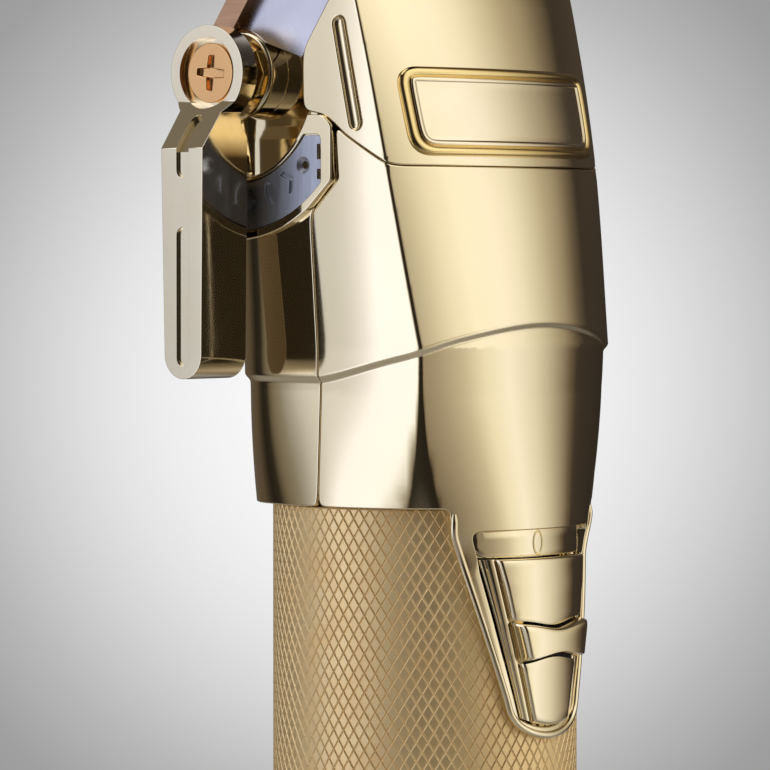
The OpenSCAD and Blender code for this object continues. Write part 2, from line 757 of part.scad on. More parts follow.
// ---- blade set ----
cheek_x = [18.8, 21.3];
guide_v = [8, 21];    // ends of the carriage along the blade
carriage_gap = 0.35;
carriage_t = 2;
carriage_n = [blade_t + cutter_t + carriage_gap, blade_t + cutter_t + carriage_gap + carriage_t];
blade_screw_x = 12;
blade_screw_v = 4.5;
blade_head = 0.3;     // how far the blade's screws stand out
blade_screw_len = 5;
tooth_len = 5.2;
chassis_v = [0.9, 10, 20, 21.5]; // foot, first bend, second bend and end of the chassis
chassis_n = mouth_n - 0.2;
bar_h = 2;            // thickness of the cross bars
foot_bar = [2.5, 5, 7];
head_bar = [14, 17];
module blade_chassis() color([0.8, 0.8, 0.86]) {
    difference() {
        union() {
            for (x = [cheek_x[0], -cheek_x[1]])
                blade_side(x, x + cheek_x[1] - cheek_x[0],
                    [[chassis_v[0], blade_t], [chassis_v[1], blade_t], [chassis_v[1], carriage_n[0]],
                     [chassis_v[2], carriage_n[0]], [chassis_v[3], mouth_n - bar_h],
                     [chassis_v[3] - 1, chassis_n], [cheek_foot, chassis_n]]);
            cross_bar([[chassis_v[0], blade_t], [foot_bar[2], blade_t], [foot_bar[2], blade_t + bar_h],
                       [foot_bar[1], blade_t + bar_h + 1.5], [foot_bar[0], blade_t + bar_h + 0.5]]);
            cross_bar([[head_bar[1], mouth_n - bar_h], [chassis_v[3], mouth_n - bar_h],
                       [chassis_v[3] - 1, chassis_n], [head_bar[0], chassis_n]]);
            translate([-deck_w, deck_y[0], motor_top])
                cube([2 * deck_w, deck_y[1] - deck_y[0], deck_t]);
        }
        on_pivot(-far, 0) circle(r = bush_r + boss_wall + slot_play[0]);
        translate([0, motor_y, motor_top - 1])
            cylinder(r = bearing_r + fit, h = deck_t + 2);
        for (s = [-1, 1])
            translate([s * motor_screw_x, motor_y, motor_top - 1])
                cylinder(r = screw_r + fit, h = deck_t + 2);
        blade_plane()
            for (s = [-1, 1])
                translate([s * blade_screw_x, blade_screw_v, -1])
                    cylinder(r = screw_r, h = blade_screw_len + 1.5);
        translate([-arm_x[1] - slot_play[1], arm_slot_y[0], motor_top - deck_t])
            cube([arm_x[1] - arm_x[0] + 2 * slot_play[1], arm_slot_y[1] - arm_slot_y[0], far / 6]);
    }
}
module cross_bar(points) {
    blade_side(-cheek_x[0] - 0.1, cheek_x[0] + 0.1, points);
}
cheek_foot = 4.1;
deck_y = [-6, 12];
deck_w = 16.4;        // half width of the deck over the motor
deck_t = 2;
arm_slot_y = [2.5, 16]; // where the carriage's arm passes the deck
bearing_r = 4;
bearing_t = 1.6;
motor_screw_x = 8;
module stop_plate() color([0.56, 0.6, 0.66]) {
    difference() {
        on_pivot(-plate_x, -plate_x + plate_t)
            sector(stop_in, stop_out, -arc_margin, lever_swing + arc_margin);
        for (a = stop_angles)
            on_pivot(-plate_x - 1, -plate_x + dimple_depth)
                translate(stop_r * [cos(a), -sin(a)])
                    circle(r = dimple_r, $fn = 24);
    }
}
blade_bevel = 9;      // length of the slope towards the tips
tip_t = 0.8;
heel = [1.5, 1.2];    // bevel at the blade's foot
gap_share = 0.44;     // share of the pitch that is open between teeth
module fixed_blade() color([0.72, 0.5, 0.36]) {
    pitch = blade_w / fixed_teeth;
    difference() {
        blade_side(-blade_w / 2, blade_w / 2,
            [[0, 0], [blade_len - blade_bevel, 0], [blade_len, blade_t - tip_t], [blade_len, blade_t],
             [heel[0], blade_t], [0, heel[1]]]);
        blade_plane(-1)
            for (i = [1:fixed_teeth - 1])
                translate([-blade_w / 2 + (i - gap_share / 2) * pitch, blade_len - tooth_len, 0])
                    cube([pitch * gap_share, tooth_len + 1, blade_t + 2]);
        blade_plane(-1)
            for (s = [-1, 1])
                translate([s * blade_screw_x, blade_screw_v, 0]) {
                    cylinder(r = screw_r + fit, h = 2 * blade_t);
                    cylinder(r = screw_head_r + play, h = 1 + head_t - blade_head);
                }
    }
}
module blade_screws() color([0.75, 0.76, 0.78]) {
    blade_plane()
        for (s = [-1, 1])
            translate([s * blade_screw_x, blade_screw_v, 0])
                difference() {
                    union() {
                        translate([0, 0, -blade_head])
                            cylinder(r = screw_head_r, h = head_t);
                        cylinder(r = screw_r, h = blade_screw_len);
                    }
                    translate([0, 0, -blade_head])
                        cross_slot();
                }
}
cutter_v = [12, blade_len - 2.5];
cutter_n = blade_t + running;
cutter_bevel = [5, 0.6];
cutter_tooth = 4.2;
cutter_share = 0.5;
module moving_cutter() color([0.1, 0.1, 0.11]) {
    pitch = cutter_w / cutter_teeth;
    difference() {
        blade_side(-cutter_w / 2, cutter_w / 2,
            [[cutter_v[0], cutter_n], [cutter_v[1], cutter_n], [cutter_v[1], cutter_n + cutter_bevel[1]],
             [cutter_v[1] - cutter_bevel[0], cutter_n + cutter_t], [cutter_v[0], cutter_n + cutter_t]]);
        blade_plane(cutter_n - 1)
            for (i = [0:cutter_teeth])
                translate([-cutter_w / 2 + (i - cutter_share / 2) * pitch, cutter_v[1] - cutter_tooth, 0])
                    cube([pitch * cutter_share, cutter_tooth + 1, cutter_t + 2]);
    }
}
// The fork of the follower clears the drive pin at any turn of the motor and place of the cutter.
fork_half = pin_r + 2 * stroke + 0.15;
fork_wall = 2.2;
fork_v = [cutter_v[0] - 4, cutter_v[0] + 3, cutter_v[0] + 6];
fork_n = [2.2, 6.2];
fork_ends = [0, 0.6];
pin_over = 0.3;       // the fork's underside over the eccentric
pin_z = [motor_top + 5.2, motor_top + 8.8];
module cam_follower() color([0.9, 0.9, 0.88]) {
    n0 = cutter_n + cutter_t;
    fork_len = 2 * fork_half + fork_ends[0] + fork_ends[1];
    difference() {
        blade_side(-fork_half - fork_wall, fork_half + fork_wall,
            [[fork_v[0], n0 + 0.01], [fork_v[2], n0 + 0.01], [fork_v[2], n0 + fork_n[0]],
             [fork_v[1], n0 + fork_n[1]], [fork_v[0], n0 + fork_n[1]]]);
        translate([-fork_half, motor_y - fork_half - fork_ends[0], rim_z])
            cube([2 * fork_half, fork_len, pin_z[1] + slot_play[1] - rim_z]);
        translate([-far / 2, -far / 2, rim_z])
            cube([far, far, pin_z[0] + pin_over - rim_z]);
    }
}
module taper_carriage() color([0.14, 0.14, 0.15]) {
    w = cheek_x[0] - play;
    window = fork_half + fork_wall + stroke + slot_play[1];
    slot_half = crank_pin_r + 0.12 + taper_travel;
    difference() {
        blade_side(-w, w, [for (p = [[0, 0], [1, 0], [1, 1], [0, 1]]) [guide_v[p[0]], carriage_n[p[1]]]]);
        blade_side(-window, window, [for (p = [[0, 0], [1, 0], [1, 1], [0, 1]])
            [p[0] * window_end, p[1] * far / 3]]);
    }
    difference() {
        blade_side(-arm_x[1], -arm_x[0],
            [[guide_v[0] + fit, carriage_n[0]], [guide_v[0] + fit, carriage_n[1]],
             [arm_neck[0], slot_n[1] + arm_edge[1]], [crank_v - arm_end, slot_n[1] + arm_edge[1]],
             [crank_v - arm_end, slot_n[0] - arm_edge[0]], [arm_neck[1], slot_n[0] - arm_edge[0]]]);
        blade_side(-far / 2, 0, [for (p = [[-1, 0], [1, 0], [1, 1], [-1, 1]])
            [crank_v + p[0] * slot_half, slot_n[p[1]]]]);
    }
}
window_end = 18.6;    // end of the carriage's window for the fork
arm_neck = [1.5, 3];
arm_edge = [1.2, 1.4]; // metal of the arm on both sides of its slot
// At rest the crank points half a swing short of square to the blade.
crank_angle = -90 + blade_lean + lever_swing / 2;
// The carriage's travel. Its slot clears the crank at any place of the lever and the carriage.
taper_travel = 2 * crank_r * sin(lever_swing / 2) + running;
arm_end = crank_pin_r + taper_travel + 1;
crank_v = blade_v(pivot_back, pivot_z) - crank_r * sin(lever_swing / 2);
slot_n = [for (s = [-1, 1]) blade_n(pivot_back, pivot_z) + crank_r + s * (crank_pin_r + slot_play[1])];
leaf_x = [11, 16];
leaf_v = [11, 13, 19, 20.4];
leaf_t = 0.5;
leaf_rise = 1.9;
module tension_spring() color([0.7, 0.72, 0.75]) {
    n = carriage_n[1];
    for (x = [leaf_x[0], -leaf_x[1]])
        blade_side(x, x + leaf_x[1] - leaf_x[0],
            [[leaf_v[0], n], [leaf_v[3] - 0.4, n], [leaf_v[3] - 0.4, n + leaf_t], [leaf_v[1], n + leaf_t],
             [leaf_v[0] + 0.4, n + leaf_rise], [leaf_v[0], n + leaf_rise - 0.3]]);
    blade_side(-leaf_x[1], leaf_x[1],
        [[leaf_v[2], n], [leaf_v[3], n], [leaf_v[3], n + leaf_t], [leaf_v[2], n + leaf_t]]);
}

// ---- lever ----
ring_out = 27.7;
ring_r = 5.55;
ring_floor = 1;
ring_hole = 4.5;      // the screw's recess
bend_0 = 4.2;         // where the bar leaves the ring's plane, under the pivot
bend_1 = 9.9;
groove_spans = [[10.8, 17], [20.5, lever_reach - 4.5]];
finger_r = 1;         // width and depth of the finger grooves
finger_depth = 0.8;
module lever_arm() color([0.9, 0.82, 0.68]) {
    tip = -lever_reach;
    difference() {
        intersection() {
            translate([0, 0, pivot_z])
                front_extrude(-far, far)
                    polygon([[-lever_in, ring_r + 1], [-ring_out, ring_r + 1], [-ring_out, -bend_0],
                             [-bar_out, -bend_1], [-bar_out, tip - 1], [-bar_in, tip - 1],
                             [-bar_in, -bend_1 + 1.5], [-lever_in, -ring_r - 0.4]]);
            on_pivot(-far, 0) {
                circle(r = ring_r);
                translate([0, -bar_w / 2])
                    square([-tip - bar_w / 2, bar_w]);
                translate([-tip - bar_w / 2, 0])
                    circle(r = bar_w / 2);
            }
        }
        on_pivot(-far, -lever_in - ring_floor) circle(r = ring_hole);
        on_pivot(-far, 0) circle(r = screw_bore);
        on_pivot(-far, -bar_out + finger_depth)
            for (span = groove_spans)
                hull() for (d = span) translate([d, 0]) circle(r = finger_r, $fn = 24);
        on_pivot(-bar_in - spring_len, -bar_in + 1) translate([stop_r, 0]) circle(r = ball_r + running);
    }
}
screw_bore = 1.6;
spring_len = 5.4;
button_r = 3.75;      // the lever screw's flat head
button_t = 1.1;
cross_len = 4.4;
cross_w = 0.9;
cross_depth = 0.8;
cross_turn = 5;
hub_r = 5.2;
hub_over = 0.3;       // gap between the eight-sided hub and the boss
web_over = 0.8;       // metal of the crank about its pin
web_gap = 0.6;        // between the crank and the carriage's arm
module lever_screw() color([0.84, 0.5, 0.3]) {
    seat = lever_in + ring_floor;
    difference() {
        union() {
            on_pivot(-seat - button_t, -seat) circle(r = button_r);
            on_pivot(-seat - 0.5, -bush_in - play) circle(r = screw_bore - fit);
        }
        for (a = [0, 90])
            on_pivot(-seat - 2 * button_t, -seat - button_t + cross_depth)
                rotate(a + cross_turn) square([cross_len, cross_w], center = true);
    }
}
module lever_shaft() color([0.87, 0.76, 0.56]) {
    difference() {
        union() {
            on_pivot(-lever_in, -boss_x - hub_over) rotate(22.5) circle(r = hub_r, $fn = 8);
            on_pivot(-boss_x - hub_over - fit, -bush_in + 0.4) circle(r = lever_shaft_r);
            on_pivot(-bush_in + 0.3, -arm_x[1] - web_gap)
                hull() {
                    circle(r = lever_shaft_r + play, $fn = 32);
                    rotate(crank_angle) translate([crank_r, 0]) circle(r = crank_pin_r + web_over, $fn = 32);
                }
            on_pivot(-arm_x[1] - web_gap - fit, -arm_x[0] + 0.3)
                rotate(crank_angle) translate([crank_r, 0]) circle(r = crank_pin_r);
        }
        on_pivot(-far, -bush_in - fit) circle(r = screw_bore);
    }
}
module lever_bush() color([0.8, 0.66, 0.4]) {
    on_pivot(-boss_x, -bush_in)
        difference() {
            circle(r = bush_r);
            circle(r = lever_shaft_r + running);
        }
}
module stop_ball() color([0.75, 0.76, 0.78]) {
    on_stop(plate_x + running + ball_r)
        sphere(r = ball_r);
}
module on_stop(x) {
    translate([-x, pivot_back, pivot_z - stop_r])
        children();
}
spring_turns = 6;
wire_r = 0.22;
module stop_spring() color([0.6, 0.62, 0.64]) {
    x0 = plate_x + 2 * ball_r + 2 * running;
    pitch = (bar_in + spring_len - x0 - 2 * wire_r) / (spring_turns - 1);
    for (i = [0:spring_turns - 1])
        on_stop(x0 + wire_r + i * pitch)
            rotate([0, 90, 0])
                rotate_extrude($fn = 24)
                    translate([ball_r - wire_r - 0.13, 0])
                        circle(r = wire_r, $fn = 13);
}

// ---- motor ----
can_c = 1.2;
terminal = [2.4, 0.6, 3]; // the motor's two tags
terminal_x = 6;
module motor_can() color([0.66, 0.67, 0.7]) {
    translate([0, motor_y, motor_z])
        rotate_extrude()
            polygon([[shaft_r + play, 0], [motor_r, 0], [motor_r, motor_len - can_c],
                     [motor_r - can_c, motor_len], [shaft_r + play, motor_len]]);
}
module motor_end_cap() color([0.1, 0.1, 0.11]) {
    translate([0, motor_y, motor_z - cap_h]) {
        tube(motor_r - 0.5, shaft_r + play, cap_h);
        for (s = [-1, 1])
            translate([s * terminal_x - terminal[0] / 2, -terminal[1] / 2, -terminal[2]])
                cube([terminal[0], terminal[1], terminal[2] + fit]);
    }
}
module motor_bearing() color([0.83, 0.68, 0.35]) {
    translate([0, motor_y, motor_top])
        tube(bearing_r, shaft_r + running, bearing_t);
}
module motor_cushion() color([0.08, 0.08, 0.08]) {
    translate([0, motor_y, motor_z + rib_over - (cushion_h - rib_t) / 2])
        tube(motor_r + cushion_t, motor_r + fit / 5, cushion_h);
}
module motor_screws() color([0.55, 0.56, 0.58]) {
    for (s = [-1, 1])
        translate([s * motor_screw_x, motor_y, motor_top])
            difference() {
                union() {
                    cylinder(r = screw_r, h = deck_t + 0.5);
                    translate([0, 0, deck_t])
                        cylinder(r = screw_head_r - 0.3, h = head_t);
                }
                translate([0, 0, deck_t + head_t])
                    cross_slot();
            }
}
shaft_ends = [0.5, 5];
weight_r = 4.2;       // the eccentric's round body
weight_gap = 2.3;
module motor_shaft() color([0.7, 0.71, 0.73]) {
    translate([0, motor_y, motor_z - cap_h - shaft_ends[0]])
        cylinder(r = shaft_r, h = motor_len + cap_h + shaft_ends[0] + shaft_ends[1]);
}
module drive_eccentric() color([0.5, 0.5, 0.52]) {
    translate([0, motor_y, 0]) {
        translate([0, 0, motor_top + weight_gap])
            tube(weight_r, shaft_r, pin_z[0] - motor_top - weight_gap);
        translate([0, -stroke, pin_z[0] - fit])
            cylinder(r = pin_r, h = pin_z[1] - pin_z[0]);
    }
}

// ---- electronics ----
post_h = 3;
board_z = cell_top + ring_cap + post_h;
board_t = 1.6;
board_r = 13.2;
post_r = 1.5;
post_ring = 11;
post_spots = [for (a = [45:90:315]) post_ring * [cos(a), sin(a)]];
module board_posts() color([0.85, 0.85, 0.82]) {
    for (p = post_spots)
        translate([p[0], p[1], cell_top + ring_cap])
            cylinder(r = post_r, h = post_h);
}
module circuit_board() color([0.1, 0.35, 0.2]) {
    translate([0, 0, board_z]) {
        cylinder(r = board_r, h = board_t);
        translate([-4, 1, board_t - fit])
            cube([8, 6, chip_h]);
        translate([5.5, -5, board_t - fit])
            cube([3, 5, chip_h + 0.5]);
        translate([-7, -4, board_t - fit])
            cylinder(r = 2, h = 5);
    }
}
switch_y = -12.4;
toe_top = 7.2;        // top of the link's toe above the rim
toe_t = 2;
plunger = 1.6;
plunger_size = [2, 1.4];
switch_size = [6.4, 3.4, 6.5];
upright = [12, 1.2];  // width and thickness of the switch's own board
upright_over = 8;
switch_z = rim_z + toe_top + button_travel + slot_play[1] + plunger;
module switch_board() color([0.1, 0.35, 0.2]) {
    translate([-upright[0] / 2, switch_y, board_z + board_t])
        cube([upright[0], upright[1], switch_z + upright_over - board_z - board_t]);
}
module micro_switch() color([0.15, 0.15, 0.16]) {
    translate([-switch_size[0] / 2, switch_y - switch_size[1], switch_z])
        cube(switch_size);
    translate([-plunger_size[0] / 2, switch_y - 1 - plunger_size[1], switch_z - plunger])
        cube([plunger_size[0], plunger_size[1], plunger + fit]);
}

// ---- sliding switch ----
pad_rise = 2;
pad_r = barrel_r + pad_rise;
pad_in = [2.8, 2.2];  // the pad's edges inside the flange's, at its upper and lower end
flange_t = 0.6;
flange_r = [recess_r + flange_t, recess_r + 2 * flange_t];
ridge_rise_r = 0.9;   // the thumb ridge: height, ends under the button's top, and half widths
ridge_z = [9, 12.4];
ridge_in = [3.9, 4.8];
module slide_button() color([0.84, 0.7, 0.5]) {
    z0 = -switch_top;
    z1 = -switch_top - button_len;
    w1 = switch_w1 - fit;
    on_barrel(flange_r[0], flange_r[1]) wedge_outline(switch_w0, w1, z0, z1);
    on_barrel(flange_r[1] - 0.1, pad_r)
        wedge_outline(switch_w0 - pad_in[0], w1 - pad_in[1], z0 - fit, z1 + fit);
    on_barrel(pad_r - 0.1, pad_r + ridge_rise_r)
        wedge_outline(switch_w0 - ridge_in[0], switch_w0 - ridge_in[1], z0 - ridge_z[0], z0 - ridge_z[1]);
}
module button_link() color([0.15, 0.15, 0.16]) {
    intersection() {
        union() {
            translate([-link_w / 2, -far, rim_z + link_foot])
                cube([link_w, far - link_y + fit, link_foot_h]);
            translate([-link_w / 2, -link_y, rim_z + link_foot])
                cube([link_w, link_t, toe_top - link_foot]);
            translate([-link_w / 2, -link_y, rim_z + toe_top - toe_t])
                cube([link_w, link_y + switch_y - 0.5, toe_t]);
        }
        translate([0, 0, rim_z - far / 2])
            cylinder(r = flange_r[0], h = far);
    }
}

grip_sleeve();
barrel_liner();
front_shell();
rear_shell();
head_cover();
name_plate();
blade_chassis();
stop_plate();
fixed_blade();
blade_screws();
shell_screws();
motor_can();
motor_end_cap();
motor_bearing();
motor_cushion();
motor_screws();
circuit_board();
board_posts();
switch_board();
micro_switch();
motor_shaft();
drive_eccentric();
lever_arm();
lever_screw();
lever_shaft();
stop_ball();
stop_spring();
lever_bush();
taper_carriage();
tension_spring();
moving_cutter();
cam_follower();
slide_button();
button_link();
end_cap();
charge_jack();
charge_contacts();
status_light();
charge_board();
cell_rings();
battery_cell();
cell_tabs();
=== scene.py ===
# Hair clipper dressed for rendering: knurled barrel, polished champagne housing, thumb lever and blades.
import math
from contextlib import contextmanager
import bmesh
import bpy
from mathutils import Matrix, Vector
from mathutils.geometry import delaunay_2d_cdt


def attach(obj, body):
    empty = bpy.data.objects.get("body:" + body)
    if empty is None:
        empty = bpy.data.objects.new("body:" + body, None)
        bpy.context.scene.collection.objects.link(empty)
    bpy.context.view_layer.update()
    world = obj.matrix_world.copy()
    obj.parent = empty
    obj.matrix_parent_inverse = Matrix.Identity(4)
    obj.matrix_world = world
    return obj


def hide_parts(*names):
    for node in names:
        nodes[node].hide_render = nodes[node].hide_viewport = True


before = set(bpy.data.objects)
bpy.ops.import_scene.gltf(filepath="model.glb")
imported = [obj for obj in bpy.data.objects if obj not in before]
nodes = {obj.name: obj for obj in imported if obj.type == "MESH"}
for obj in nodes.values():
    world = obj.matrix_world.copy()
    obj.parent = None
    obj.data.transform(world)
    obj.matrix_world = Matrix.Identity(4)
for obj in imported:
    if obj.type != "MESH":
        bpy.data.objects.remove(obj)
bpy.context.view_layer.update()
mm = 0.001

# camera: distance, height and turn about the object, in millimetres and degrees
studio = {"distance": 590, "height": 125.1, "azimuth": -51, "offset": -5.13, "drop": 17.3, "lens": 215.06}
# light of the studio by direction, in degrees from straight in front; the camera stands at -51
studioRings = {
    "low": [(-180, 0.1, 0.08, 0.06), (-164, 0.02, 0.017, 0.014), (-156, 0.03, 0.025, 0.02),
            (-150, 0.17, 0.15, 0.12), (-142, 0.26, 0.25, 0.23), (-136, 0.4, 0.41, 0.44),
            (-130, 0.72, 0.76, 0.88), (-124, 1.25, 1.34, 1.72), (-106, 1.25, 1.36, 1.7),
            (-98, 0.85, 0.9, 1.02), (-90, 0.45, 0.45, 0.45), (-83, 0.24, 0.22, 0.2),
            (-79, 0.03, 0.026, 0.022), (-22, 0.02, 0.017, 0.014), (-16, 0.2, 0.17, 0.13),
            (1, 0.44, 0.4, 0.34), (12, 0.66, 0.63, 0.56), (22, 1.0, 1.0, 0.92), (33, 1.12, 1.14, 1.2),
            (47, 0.84, 0.84, 0.8), (60, 0.46, 0.43, 0.37), (70, 0.16, 0.13, 0.1), (76, 0.05, 0.04, 0.035),
            (110, 0.03, 0.025, 0.02), (150, 0.12, 0.1, 0.08), (180, 0.1, 0.08, 0.06)],
    "high": [(-180, 0.2, 0.18, 0.15), (-160, 0.18, 0.16, 0.13), (-150, 0.27, 0.25, 0.21),
             (-142, 0.45, 0.45, 0.45), (-135, 1.0, 1.06, 1.25), (-118, 1.2, 1.28, 1.55),
             (-106, 1.1, 1.15, 1.3), (-94, 0.62, 0.64, 0.7), (-84, 0.3, 0.28, 0.26),
             (-76, 0.04, 0.034, 0.03), (-24, 0.03, 0.026, 0.022), (-14, 0.3, 0.27, 0.22),
             (0, 0.74, 0.72, 0.64), (9, 1.02, 1.01, 0.94), (19, 1.18, 1.18, 1.16), (32, 1.16, 1.16, 1.18),
             (42, 1.02, 1.02, 1.0), (54, 0.7, 0.68, 0.6), (60, 0.54, 0.5, 0.42), (68, 0.38, 0.34, 0.27),
             (75, 0.2, 0.17, 0.13), (83, 0.05, 0.04, 0.035), (150, 0.12, 0.1, 0.08), (180, 0.14, 0.12, 0.1)],
}
# share of that light by height in degrees; the two rings meet between the given heights
studioRise = {"between": (-3, 12), "most": 1.8, "steps": [(-90, 0.15), (-60, 0.3), (-30, 1.1), (-10, 1.0),
                                                          (22, 1.0), (40, 1.25), (52, 0.9), (62, 0.03),
                                                          (90, 0.01)]}
# brightness of the background by angle from the view's axis, as a share of its reach in degrees
backdrop = [(0, 0.97), (0.04, 0.94), (0.067, 0.86), (0.087, 0.77), (0.109, 0.64), (0.134, 0.48), (0.16, 0.35),
            (0.19, 0.30), (0.4, 0.5), (1, 0.62)]
backdropReach = 40


def sine(degrees):
    return math.sin(math.radians(degrees))


def cosine(degrees):
    return math.cos(math.radians(degrees))


def cleared():
    if bpy.context.object and bpy.context.object.mode != "OBJECT":
        bpy.ops.object.mode_set(mode="OBJECT")
    bpy.ops.object.select_all(action="DESELECT")


def active(piece):
    cleared()
    bpy.context.view_layer.objects.active = piece
    piece.select_set(True)


def linked(name, data):
    made = bpy.data.objects.new(name, data)
    bpy.context.scene.collection.objects.link(made)
    active(made)
    return made


def placeCamera():
    away = Vector((sine(studio["azimuth"]), -cosine(studio["azimuth"]), 0))
    right = Vector((-away.y, away.x, 0))
    camera = linked("camera", bpy.data.cameras.new("camera"))
    camera.data.lens = studio["lens"]
    camera.data.sensor_width = 36
    camera.data.clip_start = 0.01
    camera.location = (away * studio["distance"] + Vector((0, 0, studio["height"]))) * mm
    target = (right * studio["offset"] + Vector((0, 0, studio["height"] - studio["drop"]))) * mm
    camera.rotation_euler = (target - camera.location).to_track_quat("-Z", "Y").to_euler()
    bpy.context.scene.camera = camera
    return (target - camera.location).normalized()


# Adds a node; links the inputs given as sockets and sets the others.
def node(tree, kind, settings=None, **inputs):
    made = tree.nodes.new("ShaderNode" + kind)
    for key, value in (settings or {}).items():
        setattr(made, key, value)
    for key, value in inputs.items():
        socket = made.inputs[int(key[1:]) if key[1:].isdigit() else key]
        if isinstance(value, bpy.types.NodeSocket):
            tree.links.new(value, socket)
        else:
            socket.default_value = value
    return made


def sums(tree, operation, first, second=0.0):
    return node(tree, "Math", {"operation": operation}, i0=first, i1=second).outputs[0]


def ramp(tree, source, stops):
    made = node(tree, "ValToRGB", Fac=source)
    colours = made.color_ramp
    for i, (place, value) in enumerate(stops):
        point = colours.elements[i] if i < 2 else colours.elements.new(place)
        point.position = place
        point.color = (*(value if isinstance(value, tuple) else [value] * 3), 1)
    return made.outputs["Color"]


def studioWorld(viewAxis):
    world = bpy.data.worlds.new("studioWorld")
    bpy.context.scene.world = world
    world.use_nodes = True
    tree = world.node_tree
    direction = node(tree, "TexCoord").outputs["Generated"]
    parts = node(tree, "SeparateXYZ", i0=direction).outputs
    rise = sums(tree, "ARCSINE", parts[2])
    around = sums(tree, "ARCTAN2", parts[0], sums(tree, "MULTIPLY", parts[1], -1.0))
    around = sums(tree, "FRACT", sums(tree, "ADD", sums(tree, "DIVIDE", around, math.tau), 0.5))
    most = studioRise["most"]
    low, high = [ramp(tree, around, [((a + 180) / 360, tuple(v / most for v in light)) for a, *light in ring])
                 for ring in studioRings.values()]
    start, end = [math.radians(height) for height in studioRise["between"]]
    share = node(tree, "MapRange", {"interpolation_type": "SMOOTHSTEP"}, i0=rise, i1=start, i2=end).outputs[0]
    ring = node(tree, "Mix", {"data_type": "RGBA"}, i0=share, i6=low, i7=high).outputs[2]
    byHeight = ramp(tree, sums(tree, "ADD", sums(tree, "DIVIDE", rise, math.pi), 0.5),
                    [((a + 90) / 180, v) for a, v in studioRise["steps"]])
    strength = sums(tree, "MULTIPLY", byHeight, most)
    light = node(tree, "Background", Color=ring, Strength=strength).outputs[0]
    # the background itself: white in the middle and grey towards the corners
    along = node(tree, "VectorMath", {"operation": "DOT_PRODUCT"}, i0=direction, i1=viewAxis)
    angle = sums(tree, "ARCCOSINE", along.outputs["Value"])
    angle = sums(tree, "DIVIDE", angle, math.radians(backdropReach))
    shade = ramp(tree, angle, backdrop)
    plain = node(tree, "Background", Color=shade, Strength=1.0).outputs[0]
    seen = node(tree, "LightPath").outputs["Is Camera Ray"]
    mixed = node(tree, "MixShader", i0=seen, i1=light, i2=plain).outputs[0]
    tree.links.new(mixed, tree.nodes["World Output"].inputs["Surface"])


viewAxis = placeCamera()
studioWorld(viewAxis)
bpy.context.scene.view_settings.view_transform = "Standard"
softbox = {"place": Vector((-0.1, 0.1, 0.85)), "target": Vector((0, 0, 0.12)), "size": 0.5, "power": 1.0}


def placeSoftbox():
    lamp = bpy.data.lights.new("topSoftbox", "AREA")
    lamp.size = softbox["size"]
    lamp.energy = softbox["power"]
    holder = linked("topSoftbox", lamp)
    holder.location = softbox["place"]
    holder.rotation_euler = (softbox["target"] - softbox["place"]).to_track_quat("-Z", "Y").to_euler()


placeSoftbox()
floorLook = {"radius": 0.48, "fade": (0.10, 0.30)}
bpy.ops.mesh.primitive_circle_add(vertices=96, radius=floorLook["radius"], fill_type="NGON")
floor = bpy.context.object
floor.name = "floor"
print("camera, world and floor placed")


# Finishes: the colour and the worn colour, metal, least and most roughness, the pattern's waves per metre,
# the depth of the surface's unevenness in millimetres and, on a brushed one, the pattern's stretch.
finishes = {
    "champagneGold": ((0.88, 0.75, 0.5), (0.84, 0.7, 0.45), 1, (0.05, 0.11), 90, 0.0012),
    "knurledGold": ((1.0, 0.76, 0.4), (1.0, 0.73, 0.37), 1, (0.5, 0.58), 900, 0.004),
    "plateGold": ((0.86, 0.66, 0.3), (0.8, 0.6, 0.26), 1, (0.07, 0.13), 140, 0.0012),
    "palePlate": ((0.88, 0.76, 0.53), (0.84, 0.71, 0.48), 1, (0.12, 0.2), 240, 0.002),
    "leverSatin": ((0.88, 0.78, 0.58), (0.84, 0.73, 0.53), 1, (0.07, 0.13), 400, 0.002),
    "roseGold": ((0.86, 0.52, 0.24), (0.8, 0.46, 0.2), 1, (0.12, 0.22), 400, 0.002),
    "bladeBronze": ((0.5, 0.3, 0.18), (0.42, 0.25, 0.15), 1, (0.2, 0.34), 700, 0.003, (1, 1, 12)),
    "cutterBlack": ((0.035, 0.034, 0.036), (0.06, 0.058, 0.06), 0.6, (0.3, 0.45), 800, 0.003),
    "chassisSilver": ((0.7, 0.68, 0.74), (0.62, 0.6, 0.66), 1, (0.2, 0.34), 500, 0.002),
    "brushedSteel": ((0.5, 0.51, 0.56), (0.42, 0.43, 0.47), 1, (0.32, 0.48), 500, 0.003, (1, 14, 1)),
    "plainSteel": ((0.6, 0.6, 0.62), (0.52, 0.52, 0.54), 1, (0.2, 0.35), 400, 0.002),
    "springSteel": ((0.66, 0.67, 0.7), (0.56, 0.57, 0.6), 1, (0.18, 0.3), 900, 0.002),
    # the black plastic finish also stands as painted shade in the switch's undercuts
    "blackPlasticAndPaintedShade": ((0.02, 0.02, 0.022), (0.035, 0.035, 0.037), 0, (0.4, 0.55), 1200, 0.01),
    "whitePlastic": ((0.72, 0.71, 0.68), (0.66, 0.65, 0.61), 0, (0.4, 0.55), 1200, 0.008),
    "cellWrap": ((0.08, 0.18, 0.36), (0.07, 0.15, 0.31), 0, (0.25, 0.4), 200, 0.01),
    "boardGreen": ((0.02, 0.13, 0.06), (0.03, 0.17, 0.08), 0, (0.3, 0.5), 900, 0.01),
    "contactGold": ((0.86, 0.66, 0.3), (0.78, 0.58, 0.26), 1, (0.12, 0.25), 900, 0.001),
    "darkRubber": ((0.025, 0.025, 0.025), (0.04, 0.04, 0.04), 0, (0.7, 0.85), 2000, 0.02),
    "clearLens": ((0.75, 0.83, 0.9), (0.7, 0.8, 0.88), 0, (0.08, 0.16), 500, 0.001),
    "paleFloor": ((0.8, 0.8, 0.8), (0.76, 0.76, 0.76), 0, (0.5, 0.65), 4, 0.01),
}


